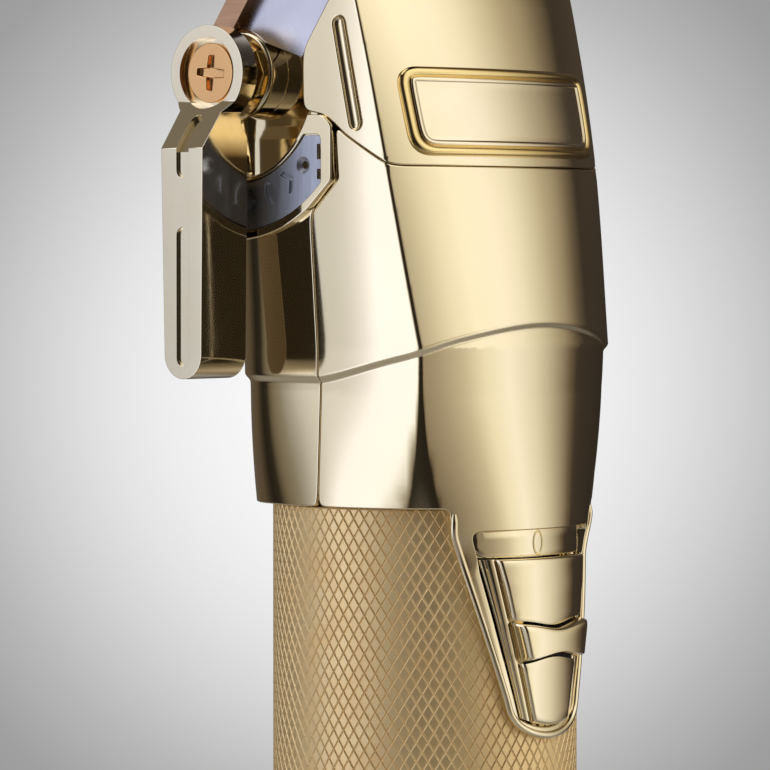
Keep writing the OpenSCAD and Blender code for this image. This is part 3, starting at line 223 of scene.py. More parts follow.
# The material of a finish, made the first time that it is asked for.
def finished(name):
    if name in bpy.data.materials:
        return bpy.data.materials[name]
    clean, worn, metal, rough, grain, depth, *brushed = finishes[name]
    material = bpy.data.materials.new(name)
    material.use_nodes = True
    tree = material.node_tree
    shader = tree.nodes["Principled BSDF"]
    place = node(tree, "TexCoord").outputs["Object"]
    place = node(tree, "Mapping", Vector=place, Scale=brushed[0] if brushed else (1, 1, 1)).outputs[0]
    broad = node(tree, "TexNoise", Vector=place, Scale=grain / 4, Detail=3.0).outputs["Fac"]
    fine = node(tree, "TexNoise", Vector=place, Scale=grain * 3, Detail=4.0).outputs["Fac"]
    shader.inputs["Metallic"].default_value = metal
    for socket, source in {
        "Base Color": ramp(tree, broad, [(0.35, clean), (0.7, worn)]),
        "Roughness": node(tree, "MapRange", i0=broad, i1=0.3, i2=0.75, i3=rough[0], i4=rough[1]).outputs[0],
        "Normal": node(tree, "Bump", Strength=1.0, Distance=depth * mm, Height=fine).outputs["Normal"],
    }.items():
        tree.links.new(source, shader.inputs[socket])
    return material


gold = finished("champagneGold")
floor.data.materials.append(finished("paleFloor"))


# The floor melts into the background away from the object.
def fadedFloor(material):
    tree = material.node_tree
    shader = tree.nodes["Principled BSDF"]
    place = node(tree, "TexCoord").outputs["Object"]
    reach = node(tree, "VectorMath", {"operation": "LENGTH"}, i0=place).outputs["Value"]
    share = node(tree, "MapRange", i0=reach, i1=floorLook["fade"][0], i2=floorLook["fade"][1]).outputs[0]
    clear = node(tree, "BsdfTransparent").outputs[0]
    mixed = node(tree, "MixShader", i0=share, i1=shader.outputs[0], i2=clear).outputs[0]
    tree.links.new(mixed, tree.nodes["Material Output"].inputs["Surface"])


fadedFloor(finished("paleFloor"))
solidsByFinish = {
    "knurledGold": "grip_sleeve",
    "blackPlasticAndPaintedShade": "barrel_liner motor_end_cap micro_switch taper_carriage button_link charge_jack",
    "champagneGold": "front_shell rear_shell head_cover slide_button end_cap",
    "plateGold": "name_plate lever_shaft lever_bush",
    "chassisSilver": "blade_chassis",
    "brushedSteel": "stop_plate",
    "bladeBronze": "fixed_blade",
    "plainSteel": "blade_screws shell_screws motor_can motor_screws drive_eccentric cell_tabs",
    "contactGold": "motor_bearing charge_contacts",
    "darkRubber": "motor_cushion",
    "boardGreen": "circuit_board switch_board charge_board",
    "whitePlastic": "board_posts cam_follower cell_rings",
    "springSteel": "motor_shaft stop_ball stop_spring tension_spring",
    "leverSatin": "lever_arm",
    "roseGold": "lever_screw",
    "cutterBlack": "moving_cutter",
    "clearLens": "status_light",
    "cellWrap": "battery_cell",
}
for finish, names in solidsByFinish.items():
    for name in names.split():
        for slot in nodes[name].material_slots:
            slot.material = finished(finish)
print("finishes made:", len(bpy.data.materials))


# A place on the skin is an angle from the face's middle and a height above the barrel's rim.
skinShape = {
    "rim": 92, "rimRadius": 20.3, "foot": 0.95, "ridge": 17.15, "ridgeRise": 6.3, "ridgeStep": 0.65,
    "stepHeight": 1.35, "stepFade": 15.5, "boxy": 0.42, "boxyFoot": 6.5, "grown": 21, "frontDepth": 26,
    "heights": (21, 43.2, 64, 73), "side": (20.2, 21.8, 22.3, 22.5), "front": (19.9, 16.6, 11.2, 7.8),
    "back": (18.9, 18.6, 17.6, 16.6), "crown": (40, 46.4, 60, 70),
}


# Edit mode on a piece, with all of it selected at the start.
@contextmanager
def editing(piece):
    active(piece)
    bpy.ops.object.mode_set(mode="EDIT")
    bpy.ops.mesh.select_all(action="SELECT")
    yield bpy.ops.mesh
    bpy.ops.object.mode_set(mode="OBJECT")


def meshed(name, points, edges, faces):
    mesh = bpy.data.meshes.new(name)
    mesh.from_pydata(points, edges, faces)
    return linked(name, mesh)


def mix(low, high, share):
    return low + (high - low) * share


def clip(value):
    return min(1, max(0, value))


def ease(value):
    value = clip(value)
    return value * value * (3 - 2 * value)


def smoother(value):
    value = clip(value)
    return value ** 3 * (10 - 15 * value + 6 * value * value)


def alongHeights(values, h):
    at = skinShape["heights"]
    h = min(at[3], max(at[0], h))
    i = 0 if h < at[1] else 1 if h < at[2] else 2
    slopes = [(values[min(3, k + 1)] - values[max(0, k - 1)]) / (at[min(3, k + 1)] - at[max(0, k - 1)])
              for k in (i, i + 1)]
    width = at[i + 1] - at[i]
    t = (h - at[i]) / width
    return ((2 * t ** 3 - 3 * t * t + 1) * values[i] + (t ** 3 - 2 * t * t + t) * width * slopes[0]
            + (3 * t * t - 2 * t ** 3) * values[i + 1] + (t ** 3 - t * t) * width * slopes[1])


def crownReach(angle, h):
    radius = alongHeights(skinShape["crown"], h)
    centre = radius - alongHeights(skinShape["front"], h)
    return -centre * math.cos(angle) + math.sqrt(max(0.0, radius ** 2 - (centre * math.sin(angle)) ** 2))


def sideReach(angle, h):
    front = math.cos(angle) > 0
    power = 3.5 if front else mix(4, 6.5, ease((h - 36) / 20))
    depth = skinShape["frontDepth"] if front else alongHeights(skinShape["back"], h)
    return ((abs(math.sin(angle)) / alongHeights(skinShape["side"], h)) ** power
            + (abs(math.cos(angle)) / depth) ** power) ** (-1 / power)


def ridgeHeight(angle):
    front = clip((math.cos(angle) * 20 + 1) / 21)
    return skinShape["ridge"] + skinShape["ridgeRise"] * front ** 1.3 + 0.5 * ease((front - 0.55) / 0.25)


def skinRadius(degrees, h):
    angle = math.radians(degrees)
    boxy = skinShape["boxy"]
    if h >= 0:
        grow = boxy + (1 - boxy) * (1 - (1 - clip(h / skinShape["grown"])) ** 1.8)
    else:
        grow = boxy * ease(1 + h / skinShape["boxyFoot"])
    crown, side = crownReach(angle, h), sideReach(angle, h)
    soft = 0.3 + 5.5 * (1 - grow) ** 1.3
    upper = min(crown, side) - soft / 4 * (max(soft - abs(crown - side), 0) / soft) ** 2
    below = (ridgeHeight(angle) + 0.4 - h) / skinShape["stepHeight"]
    under = smoother(below) * clip(h / skinShape["stepFade"])
    return mix(skinShape["rimRadius"], upper, grow) - skinShape["ridgeStep"] * under


def skinPoint(degrees, h, inset=0.0):
    radius = skinRadius(degrees, h) - inset
    angle = math.radians(degrees)
    return Vector((radius * math.sin(angle), -radius * math.cos(angle), skinShape["rim"] + h))


def skinNormal(degrees, h):
    across = skinPoint(degrees + 0.15, h) - skinPoint(degrees - 0.15, h)
    up = skinPoint(degrees, h + 0.05) - skinPoint(degrees, h - 0.05)
    return across.cross(up).normalized()


def bisect(test, low, high):
    for _ in range(26):
        middle = (low + high) / 2
        if test(middle):
            low = middle
        else:
            high = middle
    return (low + high) / 2


# Angle, on the given side, at which the skin lies at depth y.
def angleAt(y, h, side=1):
    return side * bisect(lambda a: -skinRadius(a, h) * cosine(a) < y, 0, 180)


def angleAcross(x, h):
    sign = 1 if x >= 0 else -1
    return sign * bisect(lambda a: skinRadius(a, h) * sine(a) < abs(x), 0, 70)


# length of a degree on the unrolled skin
flat = 0.3545


# A closed outline with its corners rounded, on the unrolled skin.
def cornersRounded(points, radius, steps=4):
    rounded = []
    for i, point in enumerate(points):
        before, after = points[i - 1] - point, points[(i + 1) % len(points)] - point
        reach = min(radius, before.length * 0.45, after.length * 0.45)
        start, end = point + before.normalized() * reach, point + after.normalized() * reach
        if before.normalized().dot(after.normalized()) < -0.99:
            rounded.append(point.copy())
            continue
        for k in range(steps + 1):
            t = k / steps
            rounded.append(start * (1 - t) ** 2 + point * 2 * t * (1 - t) + end * t * t)
    return rounded


# The same for plain pairs of numbers.
def blunted(points, radius):
    return [tuple(p) for p in cornersRounded([Vector(p) for p in points], radius)]


# Extra points on the long edges of a closed outline.
def evenly(points, step):
    result = []
    for i, point in enumerate(points):
        after = points[(i + 1) % len(points)]
        count = max(1, round((after - point).length / step))
        result += [point.lerp(after, k / count) for k in range(count)]
    return result


# The outline moved towards the material, which lies on its left.
def movedIn(loop, distance):
    if not distance:
        return loop
    moved = []
    for i, point in enumerate(loop):
        before, after = (point - loop[i - 1]).normalized(), (loop[(i + 1) % len(loop)] - point).normalized()
        normal = Vector((-(before.y + after.y), before.x + after.x))
        normal.normalize()
        stretch = 1 / max(0.6, normal.dot(Vector((-after.y, after.x))))
        moved.append(point + normal * distance * stretch)
    return moved


# The outline's edges by whole heights, so that few are looked at for each point.
def edgeRows(loop):
    rows = {}
    for i in range(len(loop)):
        a, b = loop[i - 1], loop[i]
        for row in range(math.floor(min(a.y, b.y)), math.floor(max(a.y, b.y)) + 1):
            rows.setdefault(row, []).append((a.x, a.y, b.x, b.y))
    return rows


def contains(rows, point):
    inside = False
    for ax, ay, bx, by in rows.get(math.floor(point.y), ()):
        if (ay > point.y) != (by > point.y) and point.x < (bx - ax) * (point.y - ay) / (by - ay) + ax:
            inside = not inside
    return inside


def flatPoint(degrees, h):
    return Vector((degrees * flat, h))


def rimPoint(x, h):
    return flatPoint(math.degrees(math.asin(x / skinShape["rimRadius"])), h)


def creaseAngle(h):
    h = max(skinShape["grown"], h)
    return bisect(lambda a: crownReach(math.radians(a), h) < sideReach(math.radians(a), h), 30, 89)


# the crease's angle at each half millimetre of height, and the grid's extra columns and rows about the lines
creases = [creaseAngle(h * 0.5) for h in range(160)]
creaseGap, ridgeGap, ridgeColumn = 2.2, (-2.8, 1.5), 1.1
creaseSteps = (-1.8, -1.0, -0.5, -0.2, 0, 0.2, 0.5, 1.0, 1.8)
ridgeSteps = (-2.2, -1.7, -1.45, -1.25, -1.05, -0.9, -0.75, -0.6, -0.45, -0.3, -0.12, 0.05, 0.22, 0.4, 0.9)


# Places over the skin between two corners, closer at crease and ridge, with the line that each is on.
def gridPoints(low, high, columns, rows):
    points, tags = [], []
    count = int((high.y - low.y) / rows)
    for k in range(count + len(ridgeSteps)):
        h = low.y + k * rows
        crease = creases[42 if k >= count else int(clip(h / 79) * 158)]
        if k >= count:
            half = [i * ridgeColumn for i in range(164)]
        else:
            half = [crease * i / 20 for i in range(20)]
            half += [crease + (90 - crease) * i / 8 for i in range(1, 9)]
            half += [90 + columns * i for i in range(1, int(90 / columns))]
        half = [a for a in half if abs(a - crease) > creaseGap]
        half = sorted(half + [crease + step for step in creaseSteps])
        turns = half + [-a for a in half if a > 0.01] + [360 - a for a in half if a > 90] + [180]
        for a in [a for a in turns if low.x / flat < a < high.x / flat]:
            if k >= count:
                points.append(flatPoint(a, ridgeHeight(math.radians(a)) + ridgeSteps[k - count]))
                tags.append((0, k, a))
            elif not ridgeGap[0] < h - ridgeHeight(math.radians(a)) < ridgeGap[1]:
                step = abs(abs(a) - crease) < 2
                points.append(flatPoint(a, h))
                tags.append((math.copysign(20 + abs(a) - crease, a) if step else 1, h if step else 0, 0))
    return points, tags


# The grid's places inside the first loop and outside the others, a margin away from each.
def gridInside(loops, margin, spacing):
    low, high = [Vector((pick(p.x for p in loops[0]), pick(p.y for p in loops[0]))) for pick in (min, max)]
    rows = [edgeRows(movedIn(loop, margin)) for loop in loops]
    kept = [(p, tag) for p, tag in zip(*gridPoints(low, high, *spacing))
            if low.x < p.x < high.x and low.y < p.y < high.y and contains(rows[0], p)
            and not any(contains(row, p) for row in rows[1:])]
    return [p for p, tag in kept], [tag for p, tag in kept]


# Pairs of neighbours along the crease and along the ridge, so that the triangles follow them.
def gridLines(points, tags):
    rows = {}
    for i, (point, tag) in enumerate(zip(points, tags)):
        if tag[0] == 0:
            rows.setdefault((0, tag[1]), []).append((tag[2], i))
        elif tag[0] != 1:
            rows.setdefault((round(tag[0], 2), 0), []).append((tag[1], i))
    pairs = []
    for row in rows.values():
        row.sort()
        pairs += [(i, j) for (a, i), (b, j) in zip(row, row[1:]) if (points[i] - points[j]).length < 1.25]
    return pairs


# Triangles between the loops and the points, as triples of their numbers.
def triangulated(loops, points, pairs=()):
    places, edges = [], []
    for loop in loops:
        first = len(places)
        places += loop
        edges += [(first + i, first + (i + 1) % len(loop)) for i in range(len(loop))]
    edges += [(len(places) + i, len(places) + j) for i, j in pairs]
    places = places + points
    result = delaunay_2d_cdt(places, edges, [], 0, 1e-5)
    source = [numbers[0] for numbers in result[3]]
    rows = [edgeRows(loop) for loop in loops]
    triangles = []
    for face in result[2]:
        middle = sum((result[0][i] for i in face), Vector((0, 0))) / len(face)
        if contains(rows[0], middle) and not any(contains(row, middle) for row in rows[1:]):
            numbers = tuple(source[i] for i in face)
            a, b, c = (result[0][i] for i in face)
            if len(set(numbers)) == 3 and abs((b - a).cross(c - a)) > 0.00005:
                triangles.append(numbers)
    return triangles


# rings of an edge: moved in, sunk, and the tilt of the normal
skinWall = {"thickness": 2.0, "edge": [(0, 0.2, 80), (0.03, 0.1, 55), (0.09, 0.03, 28), (0.2, 0, 0)],
            "outside": (2.2, 0.95), "inside": (8, 4)}


# A piece of the housing with soft edges, cut along an outline on the unrolled skin.
def skinPiece(name, outline, openings=()):
    thickness, edge = skinWall["thickness"], skinWall["edge"]
    places, normals, faces = [], [], []

    def put(point, inset, tilt=0, outward=None, inwards=False):
        a, h = point.x / flat, point.y
        normal = skinNormal(a, h)
        if tilt:
            ahead = point + outward * 0.02
            tangent = (skinPoint(ahead.x / flat, ahead.y, inset) - skinPoint(a, h, inset)).normalized()
            normal = (normal * cosine(tilt) + tangent * sine(tilt)).normalized()
        places.append(skinPoint(a, h, inset) * mm)
        normals.append(-normal if inwards else normal)
        return len(places) - 1

    def outwardOf(loop, i):
        along = loop[(i + 1) % len(loop)] - loop[i - 1]
        return Vector((along.y, -along.x)).normalized()

    def ring(loop, moved, depths, tilts):
        return [put(moved[i], depths[i], tilts[i], outwardOf(loop, i)) for i in range(len(loop))]

    def ringsOf(loop, steps, sharp=None, share=None):
        rings = []
        shares = [share(p) if share else 1 for p in loop]
        for k, (distance, sunk, tilt) in enumerate(steps):
            moved = movedIn(loop, distance)
            depths, tilts = [sunk] * len(loop), [tilt] * len(loop)
            if share:
                moved = [b.lerp(a, s) for a, b, s in zip(moved, movedIn(loop, sharp[k][0]), shares)]
                depths, tilts = [[mix(sharp[k][n], steps[k][n], s) for s in shares] for n in (1, 2)]
            rings.append(ring(loop, moved, depths, tilts))
        for low, high in zip(rings, rings[1:]):
            bridge(low, high)
        return rings, moved

    def bridge(low, high):
        n = len(low)
        for i in range(n):
            faces.append((low[i], low[(i + 1) % n], high[(i + 1) % n], high[i]))

    def surface(loops, numbers, inset, spread, turned=False):
        inner, tags = gridInside(loops, 0.35, spread)
        lookup = sum(numbers, []) + [put(p, inset, inwards=turned) for p in inner]
        for face in triangulated(loops, inner, () if turned or inset else gridLines(inner, tags)):
            face = tuple(lookup[i] for i in face)
            faces.append(face[::-1] if turned else face)

    rings, moved = ringsOf(outline, edge)
    outerLoops, outerNumbers = [moved], [rings[-1]]
    foot = ring(outline, outline, [thickness] * len(outline), [90] * len(outline))
    bridge(foot, rings[0])
    for opening in openings:
        loop = opening["loop"][::-1]
        rings, moved = ringsOf(loop, opening.get("edge", edge), opening.get("sharp"), opening.get("share"))
        outerLoops.append(moved)
        outerNumbers.append(rings[-1])
        # the wall's foot is rounded into the floor
        above = rings[0]
        for distance, depth, tilt in opening["bed"]:
            step = movedIn(loop, distance)
            below = ring(step, step, [depth] * len(loop), [tilt] * len(loop))
            bridge(below, above)
            above = below
        surface([step[::-1]], [below[::-1]], depth, skinWall["outside"])
    surface(outerLoops, outerNumbers, 0, skinWall["outside"])
    surface([outline], [foot], thickness, skinWall["inside"], turned=True)
    piece = meshed(name, places, [], faces)
    piece.data.polygons.foreach_set("use_smooth", [True] * len(faces))
    piece.data.normals_split_custom_set_from_vertices(normals)
    return piece


# lines of the housing on the side face: depth of each joint and heights above the rim
lines = {"part": 0.95, "notch": -3.4, "notchLow": 41.7, "partTop": 38, "notchTop": 48.7, "seam": 43.53,
         "hook": [(-1.8, 50.0), (1.8, 50.3)], "steps": [(-4.9, 47.4), (-11.5, 43.6)],
         "rearTop": [(1.8, 56.6), (13.8, 60.5)], "coverFoot": 58, "pocketFoot": 50.05}


# A line on the side face, given as depth and height, walked in small steps.
def sideLine(points, step=0.5):
    walked = []
    for (y0, h0), (y1, h1) in zip(points, points[1:]):
        count = max(1, round(math.hypot(y1 - y0, h1 - h0) / step))
        walked += [(mix(y0, y1, k / count), mix(h0, h1, k / count)) for k in range(count)]
    walked.append(points[-1])
    return [flatPoint(angleAt(y, h), h) for y, h in walked]


# The whole outline from its right half, which runs upwards from the middle line.
def mirrored(half):
    return half + [Vector((-p.x, p.y)) for p in half[::-1][1:] if p.x > 0.01]


tongue = {"drop": 28.3, "end": 4.5, "endWidth": 7.3, "width": 13.7, "shoulder": -2.4}


def relaxed(loop, rounds):
    for _ in range(rounds):
        loop = [(loop[i - 1] + loop[i] * 2 + loop[(i + 1) % len(loop)]) / 4 for i in range(len(loop))]
    return loop


# The outline in even small steps, its corners rounded a little.
def softened(points, step=0.35, rounds=9):
    return relaxed(evenly(points, step), rounds)


# The joint between the front and the rear shell, upwards to the notch.
def partLine():
    part, notch = lines["part"], lines["notch"]
    return [(part, skinShape["foot"]), (part, lines["partTop"]), (notch, lines["notchLow"]),
            (notch, lines["notchTop"])]


def tongueHalf():
    end, drop = tongue["end"], tongue["drop"]
    half = [(tongue["endWidth"] * sine(t), end * (1 - cosine(t)) - drop) for t in range(0, 91, 6)]
    half += [(tongue["width"], tongue["shoulder"]), (tongue["width"], skinShape["foot"])]
    return [rimPoint(x, h) for x, h in half]


def frontOutline():
    half = tongueHalf()
    half += [flatPoint(a, skinShape["foot"]) for a in range(45, 90, 3)]
    half += sideLine(partLine() + lines["steps"])
    last = half[-1].x / flat
    half += [flatPoint(last * (1 - k / 28), lines["seam"]) for k in range(1, 29)]
    return movedIn(softened(mirrored(half)), 0.05)


# A slab between two planes; the loop is its flat outline, (y, z) for axis X and (x, z) for axis Y.
def slab(name, loop, axis, start, end):
    points = [Vector((start, *p) if axis == "X" else (p[0], start, p[1])) * mm for p in loop]
    piece = meshed(name, points, [(i, (i + 1) % len(loop)) for i in range(len(loop))], [])
    with editing(piece) as edit:
        edit.edge_face_add()
        shift = [(end - start) * mm if letter == axis else 0 for letter in "XYZ"]
        edit.extrude_region_move(TRANSFORM_OT_translate={"value": shift})
        edit.select_all(action="SELECT")
        edit.normals_make_consistent(inside=False)
        edit.dissolve_limited(angle_limit=math.radians(0.5))
    return piece


# Puts a modifier on a piece and applies it.
def changed(piece, kind, **settings):
    active(piece)
    modifier = piece.modifiers.new(kind, kind)
    for key, value in settings.items():
        setattr(modifier, key, value)
    bpy.ops.object.modifier_apply(modifier=kind)


def softened3d(piece, width, segments=2, angle=32):
    changed(piece, "BEVEL", width=width * mm, segments=segments, limit_method="ANGLE",
            angle_limit=math.radians(angle), use_clamp_overlap=True)
    bpy.ops.object.shade_smooth_by_angle(angle=math.radians(38))


# Cuts a piece with another, or keeps what they share, and throws the other away.
def carved(piece, tool, operation="DIFFERENCE"):
    changed(piece, "BOOLEAN", operation=operation, object=tool, solver="EXACT")
    bpy.data.meshes.remove(tool.data)


# A round piece from start to end, about the lever's axis or another centre given as (y, z).
def cylinder(name, radius, start, end, vertices=64, centre=None, radiusEnd=None):
    place = ((start + end) / 2, *(centre or pivot["place"]))
    cleared()
    bpy.ops.mesh.primitive_cone_add(vertices=vertices, depth=(end - start) * mm, radius1=radius * mm,
                                    radius2=(radiusEnd or radius) * mm, rotation=(0, math.pi / 2, 0),
                                    location=[v * mm for v in place])
    piece = bpy.context.object
    piece.name = piece.data.name = name
    bpy.ops.object.transform_apply(location=True, rotation=True, scale=True)
    return piece


def welded(piece):
    with editing(piece) as edit:
        edit.remove_doubles(threshold=0.000003)
        edit.normals_make_consistent(inside=False)


# A round bar along a path; its ends are closed where sizes are given, and otherwise joined.
def tube(name, path, radius, resolution, sizes=None):
    curve = bpy.data.curves.new(name, "CURVE")
    curve.dimensions = "3D"
    spline = curve.splines.new("POLY")
    spline.points.add(len(path) - 1)
    spline.use_cyclic_u = not sizes
    for point, place, size in zip(spline.points, path, sizes or [1] * len(path)):
        point.co = (*(place * mm), 1)
        point.radius = size
    curve.bevel_depth = radius * mm
    curve.bevel_resolution = resolution
    curve.use_fill_caps = bool(sizes)
    linked(name, curve)
    bpy.ops.object.convert(target="MESH")
    return bpy.context.object


def joined(pieces, name):
    active(pieces[0])
    for piece in pieces:
        piece.select_set(True)
    bpy.ops.object.join()
    pieces[0].name = pieces[0].data.name = name
    return pieces[0]


# The last step of each piece: its name, finish, shading and body.
def placed(piece, name, body, finish, replaced=(), angle=38):
    active(piece)
    piece.name = piece.data.name = name
    piece.data.materials.clear()
    piece.data.materials.append(finished(finish))
    bpy.ops.object.shade_smooth_by_angle(angle=math.radians(angle))
    changed(piece, "WEIGHTED_NORMAL", keep_sharp=True, weight=90)
    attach(piece, body)
    for cadNode in replaced:
        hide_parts(cadNode)
    return piece


def box(left, right, low, high):
    return [(left, low), (right, low), (right, high), (left, high)]


# Points of an arc; the angle runs from straight down towards the front, as (y, z).
def arc(centre, radius, start, end, steps):
    turns = [mix(start, end, k / steps) for k in range(steps + 1)]
    return [(centre[0] - radius * sine(t), centre[1] - radius * cosine(t)) for t in turns]


# A rounded slot between two points.
def capsule(start, end, radius):
    along = (Vector(end) - Vector(start)).normalized()
    across = Vector((-along.y, along.x))
    return [tuple(Vector(centre) + (along * sine(t) - across * cosine(t)) * reach)
            for centre, reach in ((end, radius), (start, -radius)) for t in range(0, 181, 18)]


# The knurl: a sheet of diamonds about the barrel, each raised a little inside a fine groove.
knurl = {"radius": 19.5, "foot": 3.7, "rows": 37, "row": 2.41, "columns": 83, "groove": 0.14, "depth": 0.11,
         "bore": 17.5, "core": 18.2, "wall": 0.4, "base": 3.0, "bevel": 0.42, "margin": 1.8}


def selectEdges(test):
    shape = bmesh.from_edit_mesh(bpy.context.object.data)
    for edge in shape.edges:
        edge.select_set(test(edge))
    bmesh.update_edit_mesh(bpy.context.object.data)


def selectFaces(test):
    shape = bmesh.from_edit_mesh(bpy.context.object.data)
    for face in shape.faces:
        face.select_set(test(face, face.calc_center_median() / mm))
    bmesh.update_edit_mesh(bpy.context.object.data)


# A ring turned from a closed profile of (radius, height).
def turned(name, profile, steps):
    piece = meshed(name, [Vector((r, 0, z)) * mm for r, z in profile],
                   [(i, (i + 1) % len(profile)) for i in range(len(profile))], [])
    with editing(piece) as edit:
        edit.spin(steps=steps, angle=math.tau, center=(0, 0, 0), axis=(0, 0, 1))
        edit.select_all(action="SELECT")
        edit.remove_doubles(threshold=0.000005)
        edit.normals_make_consistent(inside=False)
    bpy.ops.object.shade_smooth_by_angle(angle=math.radians(40))
    return piece


def makeBarrel():
    cleared()
    height = knurl["rows"] * knurl["row"]
    bpy.ops.mesh.primitive_grid_add(x_subdivisions=knurl["columns"], y_subdivisions=knurl["rows"], size=1)
    piece = bpy.context.object
    with editing(piece) as edit:
        edit.poke()
        selectEdges(lambda edge: abs(edge.verts[0].co.x - edge.verts[1].co.x) < 1e-6
                    or abs(edge.verts[0].co.y - edge.verts[1].co.y) < 1e-6)
        selectEdges(lambda edge: edge.select and not edge.is_boundary)
        edit.dissolve_edges(use_verts=False)
    # rolled round the barrel, with no diamonds under the tongue
    radius = knurl["radius"] - knurl["depth"]
    for vertex in piece.data.vertices:
        turn = vertex.co.x * math.tau
        vertex.co = Vector((math.sin(turn) * radius, -math.cos(turn) * radius,
                            knurl["foot"] + (vertex.co.y + 0.5) * height)) * mm
    with editing(piece) as edit:
        edit.remove_doubles(threshold=0.00001)
        edit.normals_make_consistent(inside=False)
        selectFaces(lambda face, middle: middle.y < 0 and underTongue(middle.x, middle.z - skinShape["rim"]))
        edit.delete(type="FACE")
    changed(piece, "SOLIDIFY", thickness=knurl["wall"] * mm, offset=-1)
    outward = knurl["radius"] - knurl["depth"] - 0.1
    with editing(piece) as edit:
        selectFaces(lambda face, middle: middle.xy.length > outward and abs(face.normal.z) < 0.2
                    and face.normal.xy.normalized().dot(middle.xy.normalized()) > 0.9)
        edit.inset(thickness=knurl["groove"] * mm, depth=knurl["depth"] * mm, use_individual=True)
    # the sleeve inside the diamonds, with its plain ring at the foot
    outer, base, top = knurl["radius"], knurl["base"], knurl["foot"] + height
    bore, core, foot = knurl["bore"], knurl["core"], knurl["foot"]
    profile = [(bore, base), (outer - knurl["bevel"], base), (outer - 0.2, base + 0.15), (outer, base + 0.5),
               (outer, foot), (core, foot), (core, top), (bore, top)]
    return joined([piece, turned("core", profile, 160)], "knurledBarrel")


def underTongue(x, h):
    straight, wide, narrow = tongue["drop"] - tongue["end"], tongue["width"], tongue["endWidth"]
    if h < -straight:
        width = narrow * math.sqrt(max(0, 1 - ((-straight - h) / tongue["end"]) ** 2))
    else:
        width = mix(wide, narrow, clip((tongue["shoulder"] - h) / (straight + tongue["shoulder"])))
    return abs(x) < width - knurl["margin"] and h > -tongue["drop"] + knurl["margin"]


barrelPiece = makeBarrel()
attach(barrelPiece, "housing")
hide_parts("grip_sleeve")
barrelPiece.name = "knurledBarrel"
barrelPiece.data.materials.append(finished("knurledGold"))
print("barrel made:", len(barrelPiece.data.polygons), "faces")


# The lever and what surrounds its pivot, on the left side; x is measured outwards from the middle.
pivot = {"place": (12.8, 147.3), "pocket": 13.3, "pocketFloor": 18.6, "pocketWall": 14.4, "boss": 5.7,
         "bossFace": 21.9, "bossEdge": 0.6, "bush": 3.95, "frame": (13.3, 21.0), "frameTurn": (-10, 36),
         "frameFace": 22.65, "frameFront": [(-3.3, 133.8), (-3.3, 140.6), (-1.8, 141.9), (0.5, 142.0)],
         "seatFloor": 21.1, "seatGap": 0.12}
leverArm = {"ringIn": 24.9, "ringOut": 27.7, "ring": 6.0, "recess": 4.5, "recessFloor": 1.0, "bore": 1.6,
            "barIn": 23.7, "barOut": 32.2, "barWidth": 6.1, "reach": 38.3, "bends": (3.6, 9.5),
            "groove": 1.02, "grooveDepth": 0.42, "grooves": ((6.3, 12.2), (20.3, 35.7)), "edge": 0.22,
            "grooveEdge": 0.13, "ballSeat": (1.25, 16.5, 5.4)}


def makeLever():
    look = leverArm
    y, z = pivot["place"]
    outer, inner, deep = look["barOut"], look["barIn"], look["grooveDepth"]
    tip, bend = z - look["reach"], z - look["bends"][1]
    half = look["barWidth"] / 2
    side = [(y + look["ring"] * sine(t), z + look["ring"] * cosine(t)) for t in range(-146, 147, 6)]
    side += [(y + half * cosine(t), tip + half - half * sine(t)) for t in range(0, 181, 10)]
    arm = slab("leverArm", side, "X", -outer - 1, -inner + 1)
    profile = [(-look["ringIn"], z + 7), (-look["ringOut"], z + 7), (-look["ringOut"], z - look["bends"][0]),
               (-outer, bend), (-outer, tip - 1), (-inner, tip - 1), (-inner, bend + 1.5),
               (-look["ringIn"], z - look["ring"] - 0.4)]
    carved(arm, slab("profile", profile, "Y", y - 8, y + 8), "INTERSECT")
    softened3d(arm, look["edge"])
    # grooves: the upper one starts on the ramp and bends onto the bar's face
    for start, end in look["grooves"]:
        tool = slab("groove", capsule((y, z - end), (y, z - start), look["groove"]), "X", -40, -20)
        floor = [(-45, z), (-look["ringOut"] + deep * 1.2, z),
                 (-look["ringOut"] + deep * 1.25, z - look["bends"][0] - 0.2),
                 (-outer + deep, bend - 0.5), (-outer + deep, tip - 2), (-45, tip - 2)]
        carved(tool, slab("grooveFloor", floor, "Y", y - 4, y + 4), "INTERSECT")
        carved(arm, tool)
    seat = -look["ringIn"] - look["recessFloor"]
    carved(arm, cylinder("recess", look["recess"], -look["ringOut"] - 1, seat, 72))
    carved(arm, cylinder("bore", look["bore"], -40, -10, 32))
    radius, drop, depth = look["ballSeat"]
    carved(arm, cylinder("ballSeat", radius, -inner - depth, -inner + 2, 32, (y, z - drop)))
    softened3d(arm, look["grooveEdge"], angle=50)
    welded(arm)
    placed(arm, "leverArm", "lever", "leverSatin", ["lever_arm"], 30)


leverHub = {"radius": 4.2, "length": 2.85, "bevel": 0.45, "shaft": 3.0, "end": 12.4, "gap": 0.05}


def makeLeverHub():
    look = leverHub
    outer = look["gap"] - leverArm["ringIn"]
    nut = cylinder("leverHub", look["radius"], outer, outer + look["length"], 8)
    softened3d(nut, look["bevel"], 3)
    shaft = cylinder("shaft", look["shaft"], outer + look["length"] - 0.4, -look["end"], 48)
    placed(joined([nut, shaft], "leverHub"), "leverHub", "lever", "plateGold", ["lever_shaft"])


leverScrew = {"head": 3.75, "thick": 1.1, "cross": 4.4, "crossWidth": 0.9, "waist": 1.35, "crossDepth": 0.7,
              "turn": 5, "edge": 0.14, "shank": 1.45, "shankEnd": 17.2}


